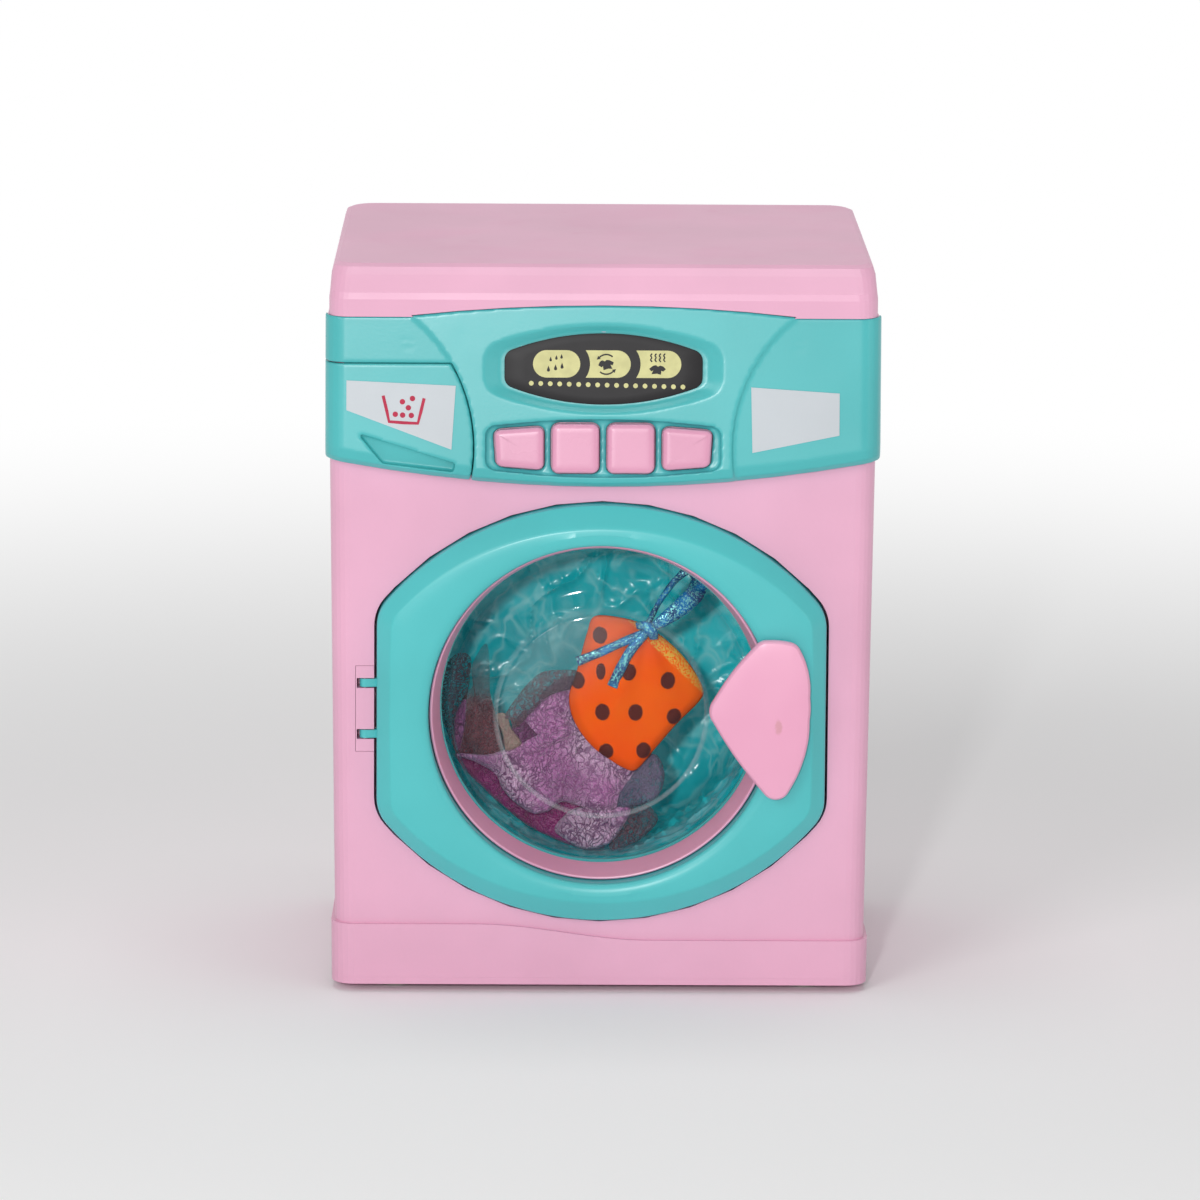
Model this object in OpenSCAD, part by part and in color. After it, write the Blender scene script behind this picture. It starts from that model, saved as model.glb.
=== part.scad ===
// Toy front-loading washing machine: moulded shells, a swinging porthole door, a pull-out
// detergent drawer, four sprung buttons and a geared drum with doll laundry in it.
// The front faces -Y, Z is up, and the origin lies on the floor under the middle.

/* [Cabinet] */
// Width of the cabinet at the control fascia
cabinet_w = 203; // [195:1:215]
// How far each side draws in from the fascia down to the floor
cabinet_taper = 3; // [0:0.5:5]
// How far each side draws in from the front to the back
back_taper = 3; // [0:0.5:5]
// Depth of the cabinet from the front panel to the back panel
cabinet_d = 148; // [144:1:160]
// Height of the shells, where the top cover sits on them
shell_h = 256; // [252:1:264]
// Wall of the moulded shells
wall = 2.2; // [1.8:0.1:2.6]
// Radius of the two front vertical edges
front_edge_r = 7; // [4:0.5:9]
// Radius of the two back vertical edges
back_edge_r = 9; // [5:0.5:11]
// Depth of the front shell, where it meets the back shell
split_d = 74; // [68:1:80]

/* [Base] */
// Height of the feet
foot_h = 3; // [2:0.5:5]
// Radius of the feet
foot_r = 7; // [5:0.5:9]
// Thickness of the base plate
base_t = 2.6; // [2:0.2:4]
// How far the plinth stands out of the front and the sides
plinth_step = 1.4; // [0.6:0.2:2]
// Height of the plinth's wavy top edge at the left
plinth_left_h = 26; // [22:0.5:26.5]
// Height of the plinth's wavy top edge at the right
plinth_right_h = 20; // [16:0.5:22]

/* [Top cover] */
// Height of the top cover above the shells
cover_h = 18; // [14:1:22]
// How far the cover's front lip hangs over the front panel
cover_lip = 1.5; // [1:0.1:2]
// How far back the crease of the cover's slanted front lies
cover_slope_d = 9; // [6:0.5:14]

/* [Fascia] */
// How far the fascia's centre panel stands out at its lower edge
panel_proud = 9.5; // [8.5:0.5:11]
// Lean of the fascia's centre panel, in degrees
panel_tilt = 8; // [6:0.5:9]
// How far the centre panel stands out of the side panels
panel_step = 1.8; // [1:0.2:2.4]
// Height of the fascia's lower edge above the floor, in the middle
fascia_z = 193.2; // [190.5:0.1:194]
// Radius of the fascia's smiling lower edge
fascia_smile_r = 540; // [450:10:700]
// Skin of the fascia
fascia_t = 1.9; // [1.5:0.1:2.3]
// Half width of the centre panel at its narrowest
panel_half_w = 47.4; // [46:0.2:49]
// Radius of the centre panel's two hollow sides
panel_side_r = 62; // [56:1:75]
// Depth of the recess round the display
display_recess = 2.2; // [1.6:0.1:2.6]
// Half width of the display plate
display_half_w = 36.5; // [33:0.5:38]
// Half height of the display plate
display_half_h = 13; // [11.5:0.25:13.5]
// Height of the display's middle on the panel, along its face
display_v = 40.6; // [40:0.1:41.2]

/* [Buttons] */
// Width of a button
button_w = 17.4; // [16:0.2:17.8]
// Height of a button, along the panel
button_h = 18.2; // [16:0.2:18.4]
// Spacing of the buttons
button_pitch = 20.4; // [20:0.1:20.8]
// Clearance round a button
button_gap = 0.4; // [0.3:0.05:0.6]
// Travel of a button
button_travel = 2; // [1:0.25:2.2]
// Height of the buttons' middle on the panel, along its face
button_v = 11.4; // [11.2:0.1:12]

/* [Drawer] */
// Travel of the detergent drawer
drawer_travel = 42; // [20:1:46]
// Width of the drawer's box
drawer_side_x = 55; // [54:0.5:60]
// Height of the drawer's box
drawer_h = 28; // [22:1:28.5]
// Length of the drawer's box behind the front panel
drawer_l = 60; // [50:1:66]
// Wall of the drawer's box
drawer_t = 1.6; // [1.2:0.1:2]
// Clearance round the drawer's box in its housing
drawer_gap = 0.5; // [0.3:0.05:0.7]

/* [Door] */
// Width of the door
door_w = 166.6; // [162:0.2:168]
// Height of the door
door_h = 158; // [154:0.5:159]
// Radius of the door's top and bottom arcs
door_arc_r = 105; // [100:1:112]
// Radius of the door's four corners
door_corner_r = 15; // [12:0.5:18]
// Height of the door's centre above the floor
door_z = 107; // [106:0.5:108]
// Gap between the door and its pocket
door_gap = 1; // [0.8:0.1:1.2]
// How far the door's crest stands out of the front panel
door_proud = 8; // [6.5:0.5:8.5]
// Depth of the door behind the front panel
door_sink = 15.4; // [14:0.2:16]
// Radius of the door frame's round opening
door_hole_r = 64.4; // [63:0.2:65]
// Radius of the window seen through the door ring
window_r = 59; // [56:0.5:60]
// Radius of the raised middle of the window
window_step_r = 38.8; // [34:0.2:42]
// How far the handle stands out of the front panel
handle_proud = 13.5; // [12.5:0.5:16]

/* [Drum] */
// Inner radius of the drum
drum_r = 66; // [64.5:0.5:67]
// Depth of the drum
drum_depth = 68; // [60:1:70]
// Wall of the drum
drum_t = 2; // [1.6:0.1:2.4]
// Radius of the drum shaft
shaft_r = 2.5; // [2:0.1:3]
// Radial running clearance of shafts and pins
run_gap = 0.05; // [0.02:0.01:0.08]

/* [Gears] */
// Teeth of the drum gear
drum_teeth = 60; // [56:4:64]
// Teeth of the compound gear's small wheel
small_teeth = 12; // [12:2:16]
// Teeth of the compound gear's large wheel
large_teeth = 48; // [40:2:50]
// Teeth of the motor pinion
pinion_teeth = 10; // [8:2:12]
// Module of the drum stage
drum_module = 1; // [0.9:0.05:1.05]
// Module of the motor stage
motor_module = 0.6; // [0.5:0.05:0.65]

/* [Power] */
// Radius of a battery
battery_r = 7.1; // [6.9:0.05:7.25]
// Length of a battery
battery_l = 50.2; // [49:0.1:50.5]
// Travel of the power switch
switch_travel = 4; // [3:0.5:5]
// Radius of the speaker
speaker_r = 18; // [14:1:20]

/* [Hidden] */

$fn = 64;
eps = 0.01;
touch = 0.02;      // play between two flat faces that rest on each other
fit_gap = 0.3;     // gap between moulded pieces that don't touch
cover_gap = 0.2;   // gap between a cover's rim and what it plugs into

pink = [0.91, 0.66, 0.78];
bright_pink = [0.94, 0.67, 0.80];
turquoise = [0.36, 0.77, 0.77];
drum_teal = [0.10, 0.55, 0.56];
black = [0.13, 0.13, 0.13];
label_grey = [0.80, 0.84, 0.87];
steel = [0.70, 0.71, 0.73];
white_plastic = [0.90, 0.90, 0.88];
board_green = [0.16, 0.42, 0.24];
orange = [1.00, 0.40, 0.05];
purple = [0.47, 0.16, 0.43];
blue = [0.10, 0.43, 0.70];
cell_green = [0.20, 0.50, 0.30];
clear = [0.85, 0.93, 0.95, 0.35];

// The handle is the foremost thing, and the origin lies under the middle of the whole depth.
front_y = (handle_proud - cabinet_d) / 2;
shell_z = foot_h + base_t;
top_z = shell_h + cover_h;

// ---------------------------------------------------------------- helpers

// Depth d behind the front panel, as a place along Y; negative is in front of it
function dy(d) = front_y + d;

// Half width of the cabinet at height z
function half_w(z) = cabinet_w / 2 - cabinet_taper * (1 - min(z, shell_h) / shell_h);

// Points of an arc in the plane, as [x, y]
function arc(c, r, a0, a1, n) = [for (i = [0:n]) let (a = a0 + (a1 - a0) * i / n)
    [c[0] + r * cos(a), c[1] + r * sin(a)]];

// Outline with flat sides, arched top and bottom and round corners: the door's barrel shape,
// with m points between the corners of each flat side
function barrel(hw, hh, r, rc, n = 5, m = 0) =
    let (
        cx = hw - rc,
        drop = hh - r,
        cz = drop + sqrt(pow(r - rc, 2) - cx * cx),
        turn = atan2(cz - drop, cx),
        side = [for (i = [1:m]) cz * (1 - 2 * i / (m + 1))]
    )
    concat(
        arc([cx, cz], rc, 0, turn, n), arc([0, drop], r, turn + 3, 177 - turn, 2 * n),
        arc([-cx, cz], rc, 180 - turn, 180, n), [for (z = side) [-hw, z]],
        arc([-cx, -cz], rc, 180, 180 + turn, n), arc([0, -drop], r, 183 + turn, 357 - turn, 2 * n),
        arc([cx, -cz], rc, 360 - turn, 360, n), [for (z = side) [hw, -z]]
    );

// Outline of a rectangle with round corners
function round_rect(hw, hh, r, n = 4) = concat(
    arc([hw - r, hh - r], r, 0, 90, n), arc([r - hw, hh - r], r, 90, 180, n),
    arc([r - hw, r - hh], r, 180, 270, n), arc([hw - r, r - hh], r, 270, 360, n)
);

// A flat outline laid at depth y, or at height z
function at_y(points, y) = [for (p = points) [p[0], y, p[1]]];
function at_z(points, z) = [for (p = points) [p[0], p[1], z]];

// Faces between rings of equal length, as triangles; the ends are closed or joined to each other
function ring_faces(rings, n, joined) = [
    for (k = [0:rings - (joined ? 1 : 2)], i = [0:n - 1], half = [0, 1])
        let (
            a = k * n + i, b = k * n + (i + 1) % n,
            c = ((k + 1) % rings) * n + i, d = ((k + 1) % rings) * n + (i + 1) % n
        )
        half == 0 ? [a, c, b] : [b, c, d]
];

// Solid through a stack of rings that run anticlockwise seen from the last ring's side
module loft(rings) {
    n = len(rings[0]);
    polyhedron(
        points = [for (r = rings) each r],
        faces = concat(
            ring_faces(len(rings), n, false),
            [[for (i = [0:n - 1]) i]],
            [[for (i = [n - 1:-1:0]) (len(rings) - 1) * n + i]]
        )
    );
}

// Closed hoop through rings, the last of which joins the first
module hoop(rings) {
    polyhedron(points = [for (r = rings) each r], faces = ring_faces(len(rings), len(rings[0]), true));
}

// A flat X-Z shape given a depth from y0 to y1
module along_y(y0, y1) {
    translate([0, y1, 0]) rotate([90, 0, 0]) linear_extrude(y1 - y0) children();
}

// A flat Y-Z shape given a width from x0 to x1
module along_x(x0, x1) {
    translate([x0, 0, 0]) rotate([90, 0, 90]) linear_extrude(x1 - x0) children();
}

// Round bar along Y from depth d0 to d1, at x and z
module bar(r, d0, d1, x = 0, z = 0, r2 = undef) {
    translate([x, dy(d0), z]) rotate([-90, 0, 0])
        cylinder(r1 = r, r2 = r2 == undef ? r : r2, h = d1 - d0);
}

// Box given by its lowest and highest corners
module box(low, high) {
    translate(low) cube(high - low);
}

// Screw with a pan head and a cross recess, head at the origin and shank down -Z
module screw(r, length, head_r, head_h) {
    difference() {
        union() {
            cylinder(r = head_r, h = head_h);
            translate([0, 0, -length]) cylinder(r = r, h = length + eps);
        }
        for (turn = [0, 90]) rotate([0, 0, turn])
            translate([-head_r * 0.6, -head_r * 0.12, head_h * 0.5])
                cube([head_r * 1.2, head_r * 0.24, head_h]);
    }
}

// ---------------------------------------------------------------- cabinet

// The cabinet's outline at height z, drawn in by inset
function plan_ring(z, inset) =
    let (
        hf = half_w(z) - inset, hb = hf - back_taper,
        y0 = dy(0) + inset, y1 = dy(cabinet_d) - inset,
        rf = max(front_edge_r - inset, 1), rb = max(back_edge_r - inset, 1)
    )
    at_z(concat(
        arc([hf - rf, y0 + rf], rf, -90, 0, 6), arc([hb - rb, y1 - rb], rb, 0, 90, 6),
        arc([rb - hb, y1 - rb], rb, 90, 180, 6), arc([rf - hf, y0 + rf], rf, 180, 270, 6)
    ), z);

module cabinet_block(inset, z0, z1) {
    loft([plan_ring(z0, inset), plan_ring(z1, inset)]);
}

// Ring of a given thickness inside the cabinet's outline
module inner_ring(inset, t, z0, z1) {
    difference() {
        cabinet_block(inset, z0, z1);
        cabinet_block(inset + t, z0 - 1, z1 + 1);
    }
}

// Everything in front of the split, or behind it
module half_space(front) {
    far = 2 * cabinet_w;
    box([-far, front ? dy(-far) : dy(split_d), -far], [far, front ? dy(split_d) : dy(far), 2 * far]);
}

// The screw columns that join the shells from the back
case_screw_d = split_d + 6;
case_boss_r = 4;
case_places = [for (side = [-1, 1], z = [46, 196]) [side * 86, z]];
case_screw_r = 1.4;
// The screw columns that carry the drum frame
frame_d = 95;
frame_half_w = cabinet_w / 2 - 9.5;
frame_places = [for (side = [-1, 1], z = [62, 164]) [side * (frame_half_w - 6), z]];
frame_t = 3;
// The upright screw columns over the base plate
base_places = [for (side = [-1, 1], d = [22, cabinet_d - 22])
    [side * (half_w(shell_z) - back_taper * d / cabinet_d - 6.4), dy(d)]];
base_boss_h = 16;

// Height of the plinth's wavy edge at x: an S between its left and its right
wave_x0 = -45;
wave_x1 = 18;
function plinth_edge(x) =
    let (t = min(1, max(0, (x - wave_x0) / (wave_x1 - wave_x0))))
    plinth_left_h + (plinth_right_h - plinth_left_h) * (3 * t * t - 2 * t * t * t);

module plinth() {
    intersection() {
        cabinet_block(-plinth_step, shell_z, plinth_left_h + 1);
        along_y(dy(-plinth_step - 1), dy(split_d)) polygon(concat(
            [[cabinet_w, 0], [cabinet_w, plinth_right_h]],
            [for (i = [12:-1:0]) let (x = wave_x0 + (wave_x1 - wave_x0) * i / 12) [x, plinth_edge(x)]],
            [[-cabinet_w, plinth_left_h], [-cabinet_w, 0]]
        ));
    }
}

pocket_d = door_sink + 0.6;
port_r = door_hole_r - 1.4;

module door_outline(grow) {
    translate([0, door_z])
        polygon(barrel(door_w / 2 + grow, door_h / 2 + grow, door_arc_r + grow, door_corner_r + grow));
}

// Windows in the front panel behind the fascia
panel_open_z0 = fascia_z + 3.4;
panel_open_z1 = shell_h - 6;
panel_open_w = panel_half_w + 2.6;
// the drawer fills the space between the side wall and its own inner side
drawer_w = half_w(shell_h) - wall - 8.3 - drawer_side_x;
drawer_x = -drawer_side_x - drawer_w / 2;
drawer_z0 = fascia_z + 12.8;

// Catches of the door and their slots in the pocket
catch_x = 73;
catch_places = [for (side = [-1, 1]) [catch_x, door_z + side * 12]];
catch_w = 2.4;
catch_h = 7;

// Hinge: a pin upright in a block let into the front panel
hinge_x = -(door_w / 2 + 4.4);
hinge_d = 2.2;
hinge_half_h = 16.2;
hinge_half_w = 3.4;
hinge_depth = 8;
pin_r = 1;
arm_places = [for (side = [-1, 1]) door_z + 1 + side * 9.7];
arm_h = 3;
arm_gap = 0.4;

module front_shell() {
    color(pink) difference() {
        union() {
            intersection() {
                inner_ring(0, wall, shell_z, shell_h);
                half_space(true);
            }
            difference() {
                plinth();
                cabinet_block(wall, shell_z - 1, shell_h);
            }
            // pocket of the door
            along_y(dy(eps), dy(pocket_d + wall)) door_outline(door_gap + wall);
            // round collar that guides the laundry into the drum
            bar(port_r + wall, pocket_d, pocket_d + wall + 1.6, 0, door_z);
            for (p = case_places) bar(case_boss_r, wall / 2, split_d, p[0], p[1]);
            for (p = frame_places) bar(case_boss_r, wall / 2, frame_d - touch, p[0], p[1]);
            for (p = base_places) if (p[1] < dy(split_d)) base_boss(p);
            // seat of the hinge block
            box([hinge_x - hinge_half_w - wall, dy(eps), arm_mid() - hinge_half_h - wall],
                [hinge_x + hinge_half_w, dy(hinge_depth + wall), arm_mid() + hinge_half_h + wall]);
        }
        along_y(dy(-3), dy(pocket_d)) door_outline(door_gap);
        bar(port_r, 0, pocket_d + 6, 0, door_z);
        for (p = case_places) bar(case_screw_r + 0.1, 30, split_d + 1, p[0], p[1]);
        for (p = frame_places) bar(case_screw_r + 0.1, 60, frame_d + 1, p[0], p[1]);
        for (p = base_places) if (p[1] < dy(split_d)) base_hole(p);
        // windows behind the fascia and for the drawer
        box([-panel_open_w, dy(-1), panel_open_z0], [panel_open_w, dy(wall + 1), panel_open_z1]);
        box([drawer_x - drawer_w / 2 - drawer_gap, dy(-1), drawer_z0 - drawer_gap],
            [drawer_x + drawer_w / 2 + drawer_gap, dy(wall + 1), drawer_z0 + drawer_h + 2.5]);
        // slots for the catches
        for (p = catch_places)
            box([p[0] - catch_w / 2 - 0.8, dy(pocket_d - 1), p[1] - catch_h / 2 - 0.6],
                [p[0] + catch_w / 2 + 0.8, dy(pocket_d + wall + 1), p[1] + catch_h / 2 + 0.6]);
        // opening for the hinge block, and the way of the hinge arms into the pocket
        box([hinge_x - hinge_half_w - fit_gap / 2, dy(-1), arm_mid() - hinge_half_h - fit_gap / 2],
            [hinge_x + hinge_half_w + fit_gap / 2, dy(hinge_depth),
                arm_mid() + hinge_half_h + fit_gap / 2]);
        for (z = arm_places)
            box([hinge_x, dy(-1), z - arm_h / 2 - arm_gap],
                [-door_w / 2, dy(hinge_depth), z + arm_h / 2 + arm_gap]);
        for (p = fascia_places) bar(1.3, -1, wall + 1, p[0], p[1]);
    }
}

function arm_mid() = (arm_places[0] + arm_places[1]) / 2;

module base_boss(p) {
    translate([p[0], p[1], shell_z]) cylinder(r = case_boss_r + 0.6, h = base_boss_h);
}

module base_hole(p) {
    translate([p[0], p[1], shell_z - 1]) cylinder(r = case_screw_r + 0.1, h = 14);
}

// ---- back shell with its battery opening, grille and switch recess

battery_pitch = 2 * battery_r + 0.7;
battery_z0 = 16;
box_half_w = 1.5 * battery_pitch + 0.8;
box_h = battery_l + 9;
box_t = 1.6;
box_depth = 2 * battery_r + 1.2;
ear_d = cabinet_d - 14;
ear_places = [for (side = [-1, 1], z = [30, 66]) [side * (box_half_w + 8), z]];
back_d = cabinet_d;
speaker_x = -42;
speaker_z = 196;
switch_x = 44;
switch_z = 206;
switch_recess_w = 24;
switch_recess_h = 11;
switch_recess_d = 3.4;
knob_w = 5.6;
knob_h = 4.6;
cover_lip_w = 4;

module back_shell() {
    color(pink) difference() {
        union() {
            intersection() {
                inner_ring(0, wall, shell_z, shell_h);
                half_space(false);
            }
            // rim that plugs into the front shell, and its root
            intersection() {
                inner_ring(wall + cover_gap, 1.4, shell_z + 8, shell_h - 8);
                difference() {
                    box([-cabinet_w, dy(split_d - 3), 0], [cabinet_w, dy(split_d + 5), shell_h]);
                    for (p = concat(case_places, frame_places))
                        bar(case_boss_r + 0.5, split_d - 5, split_d + 7, p[0], p[1]);
                }
            }
            intersection() {
                inner_ring(wall - eps, 1.4 + cover_gap, shell_z + 8, shell_h - 8);
                box([-cabinet_w, dy(split_d + 2), 0], [cabinet_w, dy(split_d + 5), shell_h]);
            }
            for (p = case_places) bar(case_boss_r + 1.6, split_d + touch, back_d - wall / 2, p[0], p[1]);
            for (p = base_places) if (p[1] > dy(split_d)) base_boss(p);
            // seat of the speaker
            bar(speaker_r + 1.8, back_d - wall - 3, back_d - wall / 2, speaker_x, speaker_z);
            // floor and walls of the switch recess
            let (w = switch_recess_w / 2 + wall, h = switch_recess_h / 2 + wall)
                box([switch_x - w, dy(back_d - switch_recess_d - 1.6), switch_z - h],
                    [switch_x + w, dy(back_d - eps), switch_z + h]);
            // posts of the battery box
            for (p = ear_places) bar(3, ear_d, back_d - wall / 2, p[0], p[1]);
        }
        for (p = case_places) {
            bar(3.3, case_screw_d, back_d + 1, p[0], p[1]);
            bar(case_screw_r + 0.2, split_d - 1, back_d + 1, p[0], p[1]);
        }
        for (p = base_places) if (p[1] > dy(split_d)) base_hole(p);
        bar(speaker_r + 0.2, back_d - wall - 4, back_d - wall, speaker_x, speaker_z);
        // grille: rows of round holes
        for (ring = [0:3], i = [0:max(0, ring * 6 - 1)])
            let (a = ring == 0 ? 0 : i * 60 / ring, r = ring * 4)
            bar(1.1, back_d - wall - 1, back_d + 1, speaker_x + r * cos(a), speaker_z + r * sin(a));
        // switch recess and the slot for its knob
        box([switch_x - switch_recess_w / 2, dy(back_d - switch_recess_d), switch_z - switch_recess_h / 2],
            [switch_x + switch_recess_w / 2, dy(back_d + 1), switch_z + switch_recess_h / 2]);
        box([switch_x - knob_w / 2 - switch_travel / 2 - 0.4, dy(back_d - switch_recess_d - 3),
            switch_z - knob_h / 2 - 0.4],
            [switch_x + knob_w / 2 + switch_travel / 2 + 0.4, dy(back_d - 1), switch_z + knob_h / 2 + 0.4]);
        // battery opening and the step that its cover lies in
        box([-box_half_w, dy(back_d - wall - 1), battery_z0],
            [box_half_w, dy(back_d + 1), battery_z0 + box_h]);
        box([-box_half_w - cover_lip_w, dy(back_d - 1.2), battery_z0 - cover_lip_w],
            [box_half_w + cover_lip_w, dy(back_d + 1), battery_z0 + box_h + cover_lip_w + 6]);
        bar(1.5, back_d - wall - 1, back_d, 0, battery_z0 + box_h + 5);
        for (p = ear_places) bar(case_screw_r + 0.1, back_d - 15, back_d - 4, p[0], p[1]);
    }
}

module base_plate() {
    color(pink) difference() {
        union() {
            intersection() {
                cabinet_block(-plinth_step, foot_h, shell_z - touch);
                box([-cabinet_w, dy(-9), 0], [cabinet_w, dy(back_d), shell_z]);
            }
            // rim inside the shells
            difference() {
                inner_ring(wall + cover_gap, 1.6, shell_z - 1, shell_z + 6);
                for (p = base_places) translate([p[0], p[1], shell_z - touch])
                    cylinder(r = case_boss_r + 1, h = 9);
            }
        }
        for (p = foot_places) translate([p[0], p[1], foot_h - 1]) cylinder(r = foot_r + touch, h = 2);
        for (p = base_places) {
            translate([p[0], p[1], 0]) cylinder(r = case_screw_r + 0.2, h = 9);
            translate([p[0], p[1], 0]) cylinder(r = 3.2, h = foot_h + 1.2);
        }
        // slots that let heat and sound out of the floor
        for (i = [-3:3]) box([i * 12 - 2, dy(50), 0], [i * 12 + 2, dy(90), shell_z + 1]);
    }
}

foot_places = [for (sx = [-1, 1], d = [14, cabinet_d - 14]) [sx * (half_w(0) - 22), dy(d)]];

module feet() {
    color(white_plastic) for (p = foot_places) translate([p[0], p[1], 0]) {
        cylinder(r1 = foot_r - 0.8, r2 = foot_r, h = 0.8);
        translate([0, 0, 0.8 - eps]) cylinder(r = foot_r, h = foot_h + 0.2 - touch + eps);
    }
}

// ---- top cover

function cover_ring(z, side, front, back = 0) =
    let (
        hf = half_w(shell_h) - side, hb = hf - back_taper,
        y0 = dy(0) + front, y1 = dy(cabinet_d) - back, rf = front_edge_r, rb = back_edge_r
    )
    at_z(concat(
        arc([hf - rf, y0 + rf], rf, -90, 0, 6), arc([hb - rb, y1 - rb], rb, 0, 90, 6),
        arc([rb - hb, y1 - rb], rb, 90, 180, 6), arc([rf - hf, y0 + rf], rf, 180, 270, 6)
    ), z);

cover_skirt = shell_h + 6.5;

module top_cover() {
    color(pink) difference() {
        union() {
            difference() {
                loft([
                    cover_ring(shell_h + touch, 0.4, -cover_lip), cover_ring(cover_skirt, 0.4, -cover_lip),
                    cover_ring(cover_skirt + 2.4, 0.7, -0.6 * cover_lip, 0.4),
                    cover_ring(top_z - 3.4, 1.2, cover_slope_d - 4.2, 1),
                    cover_ring(top_z - 0.9, 2, cover_slope_d - 1.2, 2),
                    cover_ring(top_z, 3.6, cover_slope_d + 1.6, 4)
                ]);
                loft([
                    cover_ring(shell_h - 1, 0.4 + wall, wall - cover_lip, wall),
                    cover_ring(cover_skirt, 0.4 + wall, wall - cover_lip, wall),
                    cover_ring(top_z - 3.6 - wall, 1.2 + wall, cover_slope_d - 4.2 + wall, 1 + wall),
                    cover_ring(top_z - wall, 3.6 + wall, cover_slope_d + 1.6 + wall, 4 + wall)
                ]);
            }
            // tabs that plug into the shells, and their roots in the cover's wall
            intersection() {
                union() {
                    inner_ring(wall + cover_gap, 1.6, shell_h - 8, shell_h + 5);
                    inner_ring(wall - 0.8, 2.6 + cover_gap, shell_h + 1, shell_h + 5);
                }
                union() {
                    for (d = [30, 74, 118]) box([-cabinet_w, dy(d - 8), 0], [cabinet_w, dy(d + 8), top_z]);
                    for (x = [-60, 60]) box([x - 10, dy(split_d), 0], [x + 10, dy(cabinet_d), top_z]);
                }
            }
        }
        // the fascia's centre panel rises into the skirt
        along_y(dy(-cover_lip - 1), dy(wall - cover_lip + 0.2)) panel_outline(0.25);
    }
}

// ---------------------------------------------------------------- fascia

// Height of the fascia's lower edge at x
function smile(x) = fascia_z + fascia_smile_r - sqrt(pow(fascia_smile_r, 2) - x * x);

// Half width of the centre panel at height z
panel_waist_z = 208;
function panel_half(z) =
    panel_half_w + panel_side_r - sqrt(pow(panel_side_r, 2) - pow(z - panel_waist_z, 2));

panel_top_z = shell_h + 0.4;
panel_crown = 4;

// Silhouette of the raised centre panel, grown by grow
module panel_outline(grow) {
    steps = 10;
    low = smile(panel_half_w);
    side = [for (i = [0:steps]) let (z = low + (panel_top_z - low) * i / steps)
        [panel_half(z) + grow, z + grow * (2 * i / steps - 1)]];
    half_top = panel_half(panel_top_z) + grow;
    crown = [for (i = [1:7]) let (x = half_top * (1 - i / 4))
        [x, panel_top_z + grow + panel_crown * (1 - pow(x / half_top, 2))]];
    floor_edge = [for (i = [7:-1:1]) let (x = panel_half_w * (i / 4 - 1)) [-x, smile(x) - grow]];
    polygon(concat(side, crown, [for (i = [steps:-1:0]) [-side[i][0], side[i][1]]],
        [for (i = [7:-1:1]) let (x = panel_half_w * (1 - i / 4)) [x, smile(x) - grow]]));
}

// How far the fascia's front draws back at x, where its ends turn the corner
fascia_end = half_w(shell_h) + 1;
function turn_in(x, inset) =
    let (r = front_edge_r - inset, k = max(0, abs(x) - fascia_end + front_edge_r))
    inset + r - sqrt(max(0, r * r - k * k));

// How far the leaning front stands out at height z: the centre panel, or the side panels
bend_z = fascia_z + 5.5;
side_proud = panel_proud - panel_step;
side_lean = (side_proud - 0.9) / (shell_h - bend_z);
function proud(z, centre) = centre
    ? panel_proud - (z - bend_z) * tan(panel_tilt)
    : side_proud - (z - bend_z) * side_lean;

// Side section of the fascia at x: its front leans back, and its lower edge rolls under
function fascia_ring(x, centre, inset, back, top) =
    let (z = smile(x) + inset, e = centre ? inset : turn_in(x, inset),
        p = proud(z + bend_z - fascia_z, centre))
    [for (q = [[back, z], [back, top], [e - proud(top, centre), top], [e - p, z + bend_z - fascia_z],
        [e - 0.86 * p, z + 2.2], [e - 0.5 * p, z]])
        [x, dy(q[0]), q[1]]];

module fascia_body(inset) {
    flat = fascia_end - front_edge_r;
    turns = [for (a = [18:18:90]) flat + (front_edge_r - inset) * sin(a)];
    xs = concat([for (i = [4:-1:0]) -turns[i]], [for (i = [-6:6]) flat * i / 6], turns);
    loft([for (x = xs) fascia_ring(x, false, inset, 8 + inset, inset > 0 ? shell_h - 6 : shell_h - touch)]);
}

// The raised centre panel; above the shells it reaches into the top cover's cut-out
module fascia_centre(inset) {
    intersection() {
        loft([for (i = [-5:5]) fascia_ring(i * 15, true, inset, inset > 0 ? 4 : 1.6,
            inset > 0 ? shell_h - 6 : top_z - 6)]);
        along_y(dy(-panel_proud - 1), dy(6)) panel_outline(-inset);
    }
}

// Places on the leaning centre panel: x across, v up along the face, depth below the face
panel_z = fascia_z + 3.8;
shell_play = 0.05;
module on_panel(x = 0, v = 0, depth = 0) {
    translate([0, dy(-panel_proud), bend_z]) rotate([90 - panel_tilt, 0, 0])
        translate([x, v - bend_z + panel_z, -depth]) children();
}

// Zone of the drawer front, with a gap round it
drawer_top_z = fascia_z + 45.9;
module drawer_zone(gap) {
    steps = 8;
    x0 = -cabinet_w;
    polygon(concat(
        [[x0, fascia_z - 8], [-panel_half(fascia_z) + 0.4 - gap, fascia_z - 8]],
        [for (i = [0:steps]) let (z = fascia_z + (drawer_top_z - fascia_z) * i / steps)
            [-panel_half(z) - gap, min(z, drawer_top_z - gap)]],
        [[x0, drawer_top_z - gap]]
    ));
}

tray_depth = 2.4;
tray_half_w = 43.4;
tray_half_h = 10.7;
boss_places = [[46.4, display_v - 1.6], [40, 25], [-46.4, display_v - 1.6], [-40, 25]];
board_depth = 9.4;
board_t = 1.6;
lamp_places = [-17.9, 0.7, 19.3];
edge_x = cabinet_w / 2;
fascia_places = [[29.5 - edge_x, 246], [edge_x - 29.5, 246], [70, 211], [edge_x - 10.5, 215]];

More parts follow.
